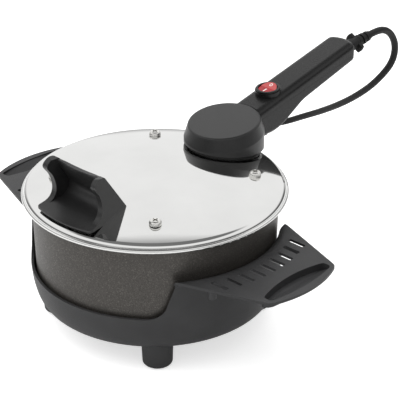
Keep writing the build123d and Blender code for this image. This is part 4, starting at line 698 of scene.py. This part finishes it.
class POT_OT_inside(PieceOperator):
    """Finishes the pieces that are closed in: element, insulation, terminals, wires and clamp"""

    bl_idname = "pot.inside"
    bl_label = "Hidden pieces"

    def execute(self, context):
        dress(["reflector_plate"], satin_sheet("reflector metal", (0.72, 0.72, 0.72), 0.2))
        dress(["insulation_disc"], mineral_wool("mineral wool"))
        dress(["heating_element"], satin_sheet("element sheath", (0.20, 0.19, 0.18), 0.5))
        fasteners = [
            "element_clips",
            "lid_spacers",
            "grip_screws",
            "housing_screws",
            "arm_screws",
            "cord_clamp_screws",
            "earth_screw",
        ]
        dress(fasteners, satin_sheet("plated steel", (0.62, 0.61, 0.58), 0.3))
        resin = glazed_resin("terminal resin", (0.80, 0.76, 0.66))
        dress(["terminal_block", "thermal_cutout"], resin)
        contacts = ["switch_tabs", "terminal_screws", "earth_tag"]
        dress(contacts, satin_sheet("contact brass", (0.72, 0.52, 0.22), 0.3))
        clamp = moulded_plastic("clamp plastic", (0.04, 0.04, 0.04), 0.5, COARSE_GRAIN)
        dress(["cord_clamp"], clamp)
        dress(["live_lead", "switch_lead"], glossy_plastic("brown wire", (0.13, 0.05, 0.02), 0.4))
        dress(["neutral_lead"], glossy_plastic("blue wire", (0.02, 0.08, 0.36), 0.4))
        dress(["earth_lead"], earth_stripes("earth wire"))
        return {"FINISHED"}


class POT_OT_lead(PieceOperator):
    """Makes the free lead with its coil, and finishes the gland, boot, tie and plug"""

    bl_idname = "pot.lead"
    bl_label = "Lead and plug"

    def coil_radii(self):
        """Where the tube crosses the coil's middle line, half turn by half turn."""
        inward = [COIL_OUTER_R - COIL_PITCH / 2 * half for half in range(COIL_LAYER_HALVES + 1)]
        inward[-1] -= COIL_INNER_STEP
        return inward + inward[::-1]

    def coil_points(self, steps):
        """Half turns inward in the low layer, one that climbs, then outward in the high one."""
        radii = self.coil_radii()
        # A quadratic spline runs inside its points by this share of the radius
        outside = 2.0 / (1.0 + math.cos(math.pi / steps))
        points = []
        for half, (here, there) in enumerate(zip(radii, radii[1:])):
            side = -1.0 if half % 2 == 0 else 1.0
            middle = COIL_CENTRE[0] + side * (here - there) / 2
            radius = (here + there) / 2 * outside
            for step in range(steps):
                share = (step + 0.5) / steps
                turn = math.pi * share
                climbed = min(1.0, max(0.0, half - COIL_LAYER_HALVES + share))
                x = middle + side * radius * math.cos(turn)
                y = COIL_CENTRE[1] + side * radius * math.sin(turn)
                points.append((x, y, COIL_LOW_Z + (COIL_HIGH_Z - COIL_LOW_Z) * climbed))
        return points

    def route(self, steps):
        """The whole lead: the free part, the coil, and a short straight run into the plug."""
        x = COIL_CENTRE[0] + COIL_OUTER_R
        run = [(x, COIL_CENTRE[1] + far, COIL_HIGH_Z) for far in (0.0, COIL_END_RUN)]
        return LEAD_ROUTE + self.coil_points(steps) + run

    def execute(self, context):
        lead = context.scene.pot_lead
        points = self.route(lead.coil_steps)
        curve = bpy.data.curves.new("lead", "CURVE")
        curve.dimensions = "3D"
        curve.bevel_depth = lead.diameter / 2
        curve.bevel_resolution = 6
        curve.resolution_u = 6
        curve.use_fill_caps = True
        spline = curve.splines.new("NURBS")
        spline.points.add(len(points) - 1)
        for point, place in zip(spline.points, points):
            point.co = (*place, 1.0)
        spline.order_u = 3
        spline.use_endpoint_u = True
        piece = bpy.data.objects.new("lead", curve)
        context.scene.collection.objects.link(piece)
        rubber = lead_rubber("lead rubber", self.colours.rubber)
        curve.materials.append(rubber)
        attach(piece, "lid")
        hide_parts("cord", "cord_coil")
        dress(["cord_gland", "strain_relief", "plug_body"], rubber)
        dress(["coil_tie"], moulded_plastic("tie strip", (0.02, 0.02, 0.02), 0.5, COARSE_GRAIN))
        dress(["plug_pins"], satin_sheet("pin metal", (0.72, 0.66, 0.52), 0.24))
        return {"FINISHED"}


class POT_OT_stage(bpy.types.Operator):
    """Makes the camera, the white floor, the world and the lamps"""

    bl_idname = "pot.stage"
    bl_label = "Studio"
    bl_options = {"REGISTER", "UNDO"}

    def add_camera(self, scene):
        azimuth = math.radians(CAMERA_AZIMUTH)
        elevation = math.radians(CAMERA_ELEVATION)
        level = math.cos(elevation)
        back = Vector((math.sin(azimuth) * level, -math.cos(azimuth) * level, math.sin(elevation)))
        data = bpy.data.cameras.new("camera")
        data.sensor_width = CAMERA_SENSOR
        data.lens = CAMERA_LENS
        data.clip_end = 100.0
        camera = bpy.data.objects.new("camera", data)
        camera.location = Vector(CAMERA_AIM) + back * CAMERA_DISTANCE
        camera.rotation_euler = (math.pi / 2 - elevation, 0.0, azimuth)
        scene.collection.objects.link(camera)
        scene.camera = camera

    def white_floor(self, stage):
        """White paper with a glow that only the camera sees in full, so that shadows stay."""
        finish = Finish("white floor")
        paper = finish.noise(0.8).mottle((0.78, 0.78, 0.78), (0.80, 0.80, 0.80))
        matte = finish.node("ShaderNodeBsdfDiffuse", None, {"Color": paper})
        seen = finish.ray("Is Camera Ray") * stage.floor_glow
        strength = seen + finish.ray("Is Glossy Ray") * MIRRORED_FLOOR
        sockets = {"Color": (1.0, 1.0, 1.0), "Strength": strength}
        glow = finish.node("ShaderNodeEmission", None, sockets)
        return finish.end(finish.node("ShaderNodeAddShader", None, {0: matte, 1: glow}))

    def add_floor(self, scene, stage):
        half = stage.floor_size / 2
        corners = [(-half, -half, 0), (half, -half, 0), (half, half, 0), (-half, half, 0)]
        mesh = bpy.data.meshes.new("floor")
        mesh.from_pydata(corners, [], [(0, 1, 2, 3)])
        mesh.materials.append(self.white_floor(stage))
        floor = bpy.data.objects.new("floor", mesh)
        scene.collection.objects.link(floor)

    def mirrored_walls(self, across, along, height):
        """Brightness of the studio as polished metal shows it, 1 where its walls are white."""
        right = across * WALL_RIGHT[0] + along * WALL_RIGHT[1]
        front = across * WALL_FRONT[0] + along * WALL_FRONT[1]
        rising = HORIZON_LIGHT + height.between(*HORIZON) * (1.0 - HORIZON_LIGHT)
        card = rising - height.between(*CEILING) * CEILING_LOSS
        low = 1.0 - height.between(*WALLS_END)
        right_kept = 1.0 - right.between(*RIGHT_WALL) * low * RIGHT_LOSS
        front_kept = 1.0 - front.between(*FRONT_WALL) * low * FRONT_LOSS
        left_kept = 1.0 - right.between(*LEFT_WALL) * low * LEFT_LOSS
        return card * right_kept * front_kept * left_kept

    def add_world(self, scene, stage):
        """White to the camera, walls to polished metal, and even light for the rest."""
        finish = Finish("studio", "worlds")
        across, along, height = finish.axes("Generated")
        walls = self.mirrored_walls(across, along, height)
        even = stage.world_low + height.between(0.0, 0.9) * (stage.world_high - stage.world_low)
        lit = even + finish.ray("Is Glossy Ray") * (walls - even)
        strength = lit + finish.ray("Is Camera Ray") * (1.0 - lit)
        sockets = {"Color": (1.0, 1.0, 1.0), "Strength": strength}
        light = finish.node("ShaderNodeBackground", None, sockets)
        scene.world = finish.end(light, "ShaderNodeOutputWorld")

    def add_lamp(self, scene, name, place, target, size, power):
        """A soft square lamp that polished metal doesn't show."""
        data = bpy.data.lights.new(name, "AREA")
        data.shape = "SQUARE"
        data.size = size
        data.energy = power
        lamp = bpy.data.objects.new(name, data)
        lamp.location = place
        lamp.rotation_euler = (Vector(target) - Vector(place)).to_track_quat("-Z", "Y").to_euler()
        lamp.visible_glossy = False
        scene.collection.objects.link(lamp)

    def execute(self, context):
        scene = context.scene
        stage = scene.pot_stage
        self.add_camera(scene)
        self.add_floor(scene, stage)
        self.add_world(scene, stage)
        for name, place, target, size, setting in LAMPS:
            self.add_lamp(scene, name, place, target, size, getattr(stage, setting))
        scene.view_settings.view_transform = "Standard"
        return {"FINISHED"}


PIECE_STEPS = (
    POT_OT_stage,
    POT_OT_lead,
    POT_OT_stand,
    POT_OT_pan,
    POT_OT_lid,
    POT_OT_grip,
    POT_OT_handle,
    POT_OT_switch,
    POT_OT_inside,
)


class POT_PT_panel(bpy.types.Panel):
    """Lists the pot's settings and steps"""

    bl_idname = "POT_PT_panel"
    bl_label = "Electric cooking pot"
    bl_space_type = "VIEW_3D"
    bl_region_type = "UI"
    bl_category = "Pot"

    def draw(self, context):
        scene = context.scene
        for holder in SETTING_GROUPS:
            group = getattr(scene, holder)
            box = self.layout.box()
            for name in group.__annotations__:
                box.prop(group, name)
        for step in PIECE_STEPS:
            self.layout.operator(step.bl_idname)


SETTING_GROUPS = {
    "pot_colours": PotColours,
    "pot_lid": PotLid,
    "pot_lead": PotLead,
    "pot_stage": PotStage,
}


def register():
    for group in SETTING_GROUPS.values():
        bpy.utils.register_class(group)
    for step in PIECE_STEPS:
        bpy.utils.register_class(step)
    bpy.utils.register_class(POT_PT_panel)
    for name, group in SETTING_GROUPS.items():
        setattr(bpy.types.Scene, name, PointerProperty(type=group))


def unregister():
    for name in SETTING_GROUPS:
        delattr(bpy.types.Scene, name)
    bpy.utils.unregister_class(POT_PT_panel)
    for step in reversed(PIECE_STEPS):
        bpy.utils.unregister_class(step)
    for group in reversed(SETTING_GROUPS.values()):
        bpy.utils.unregister_class(group)


def main():
    register()
    bpy.ops.pot.stage()
    bpy.ops.pot.lead()
    bpy.ops.pot.stand()
    bpy.ops.pot.pan()
    bpy.ops.pot.lid()
    bpy.ops.pot.grip()
    bpy.ops.pot.handle()
    bpy.ops.pot.switch()
    bpy.ops.pot.inside()


if __name__ == "__main__":
    main()
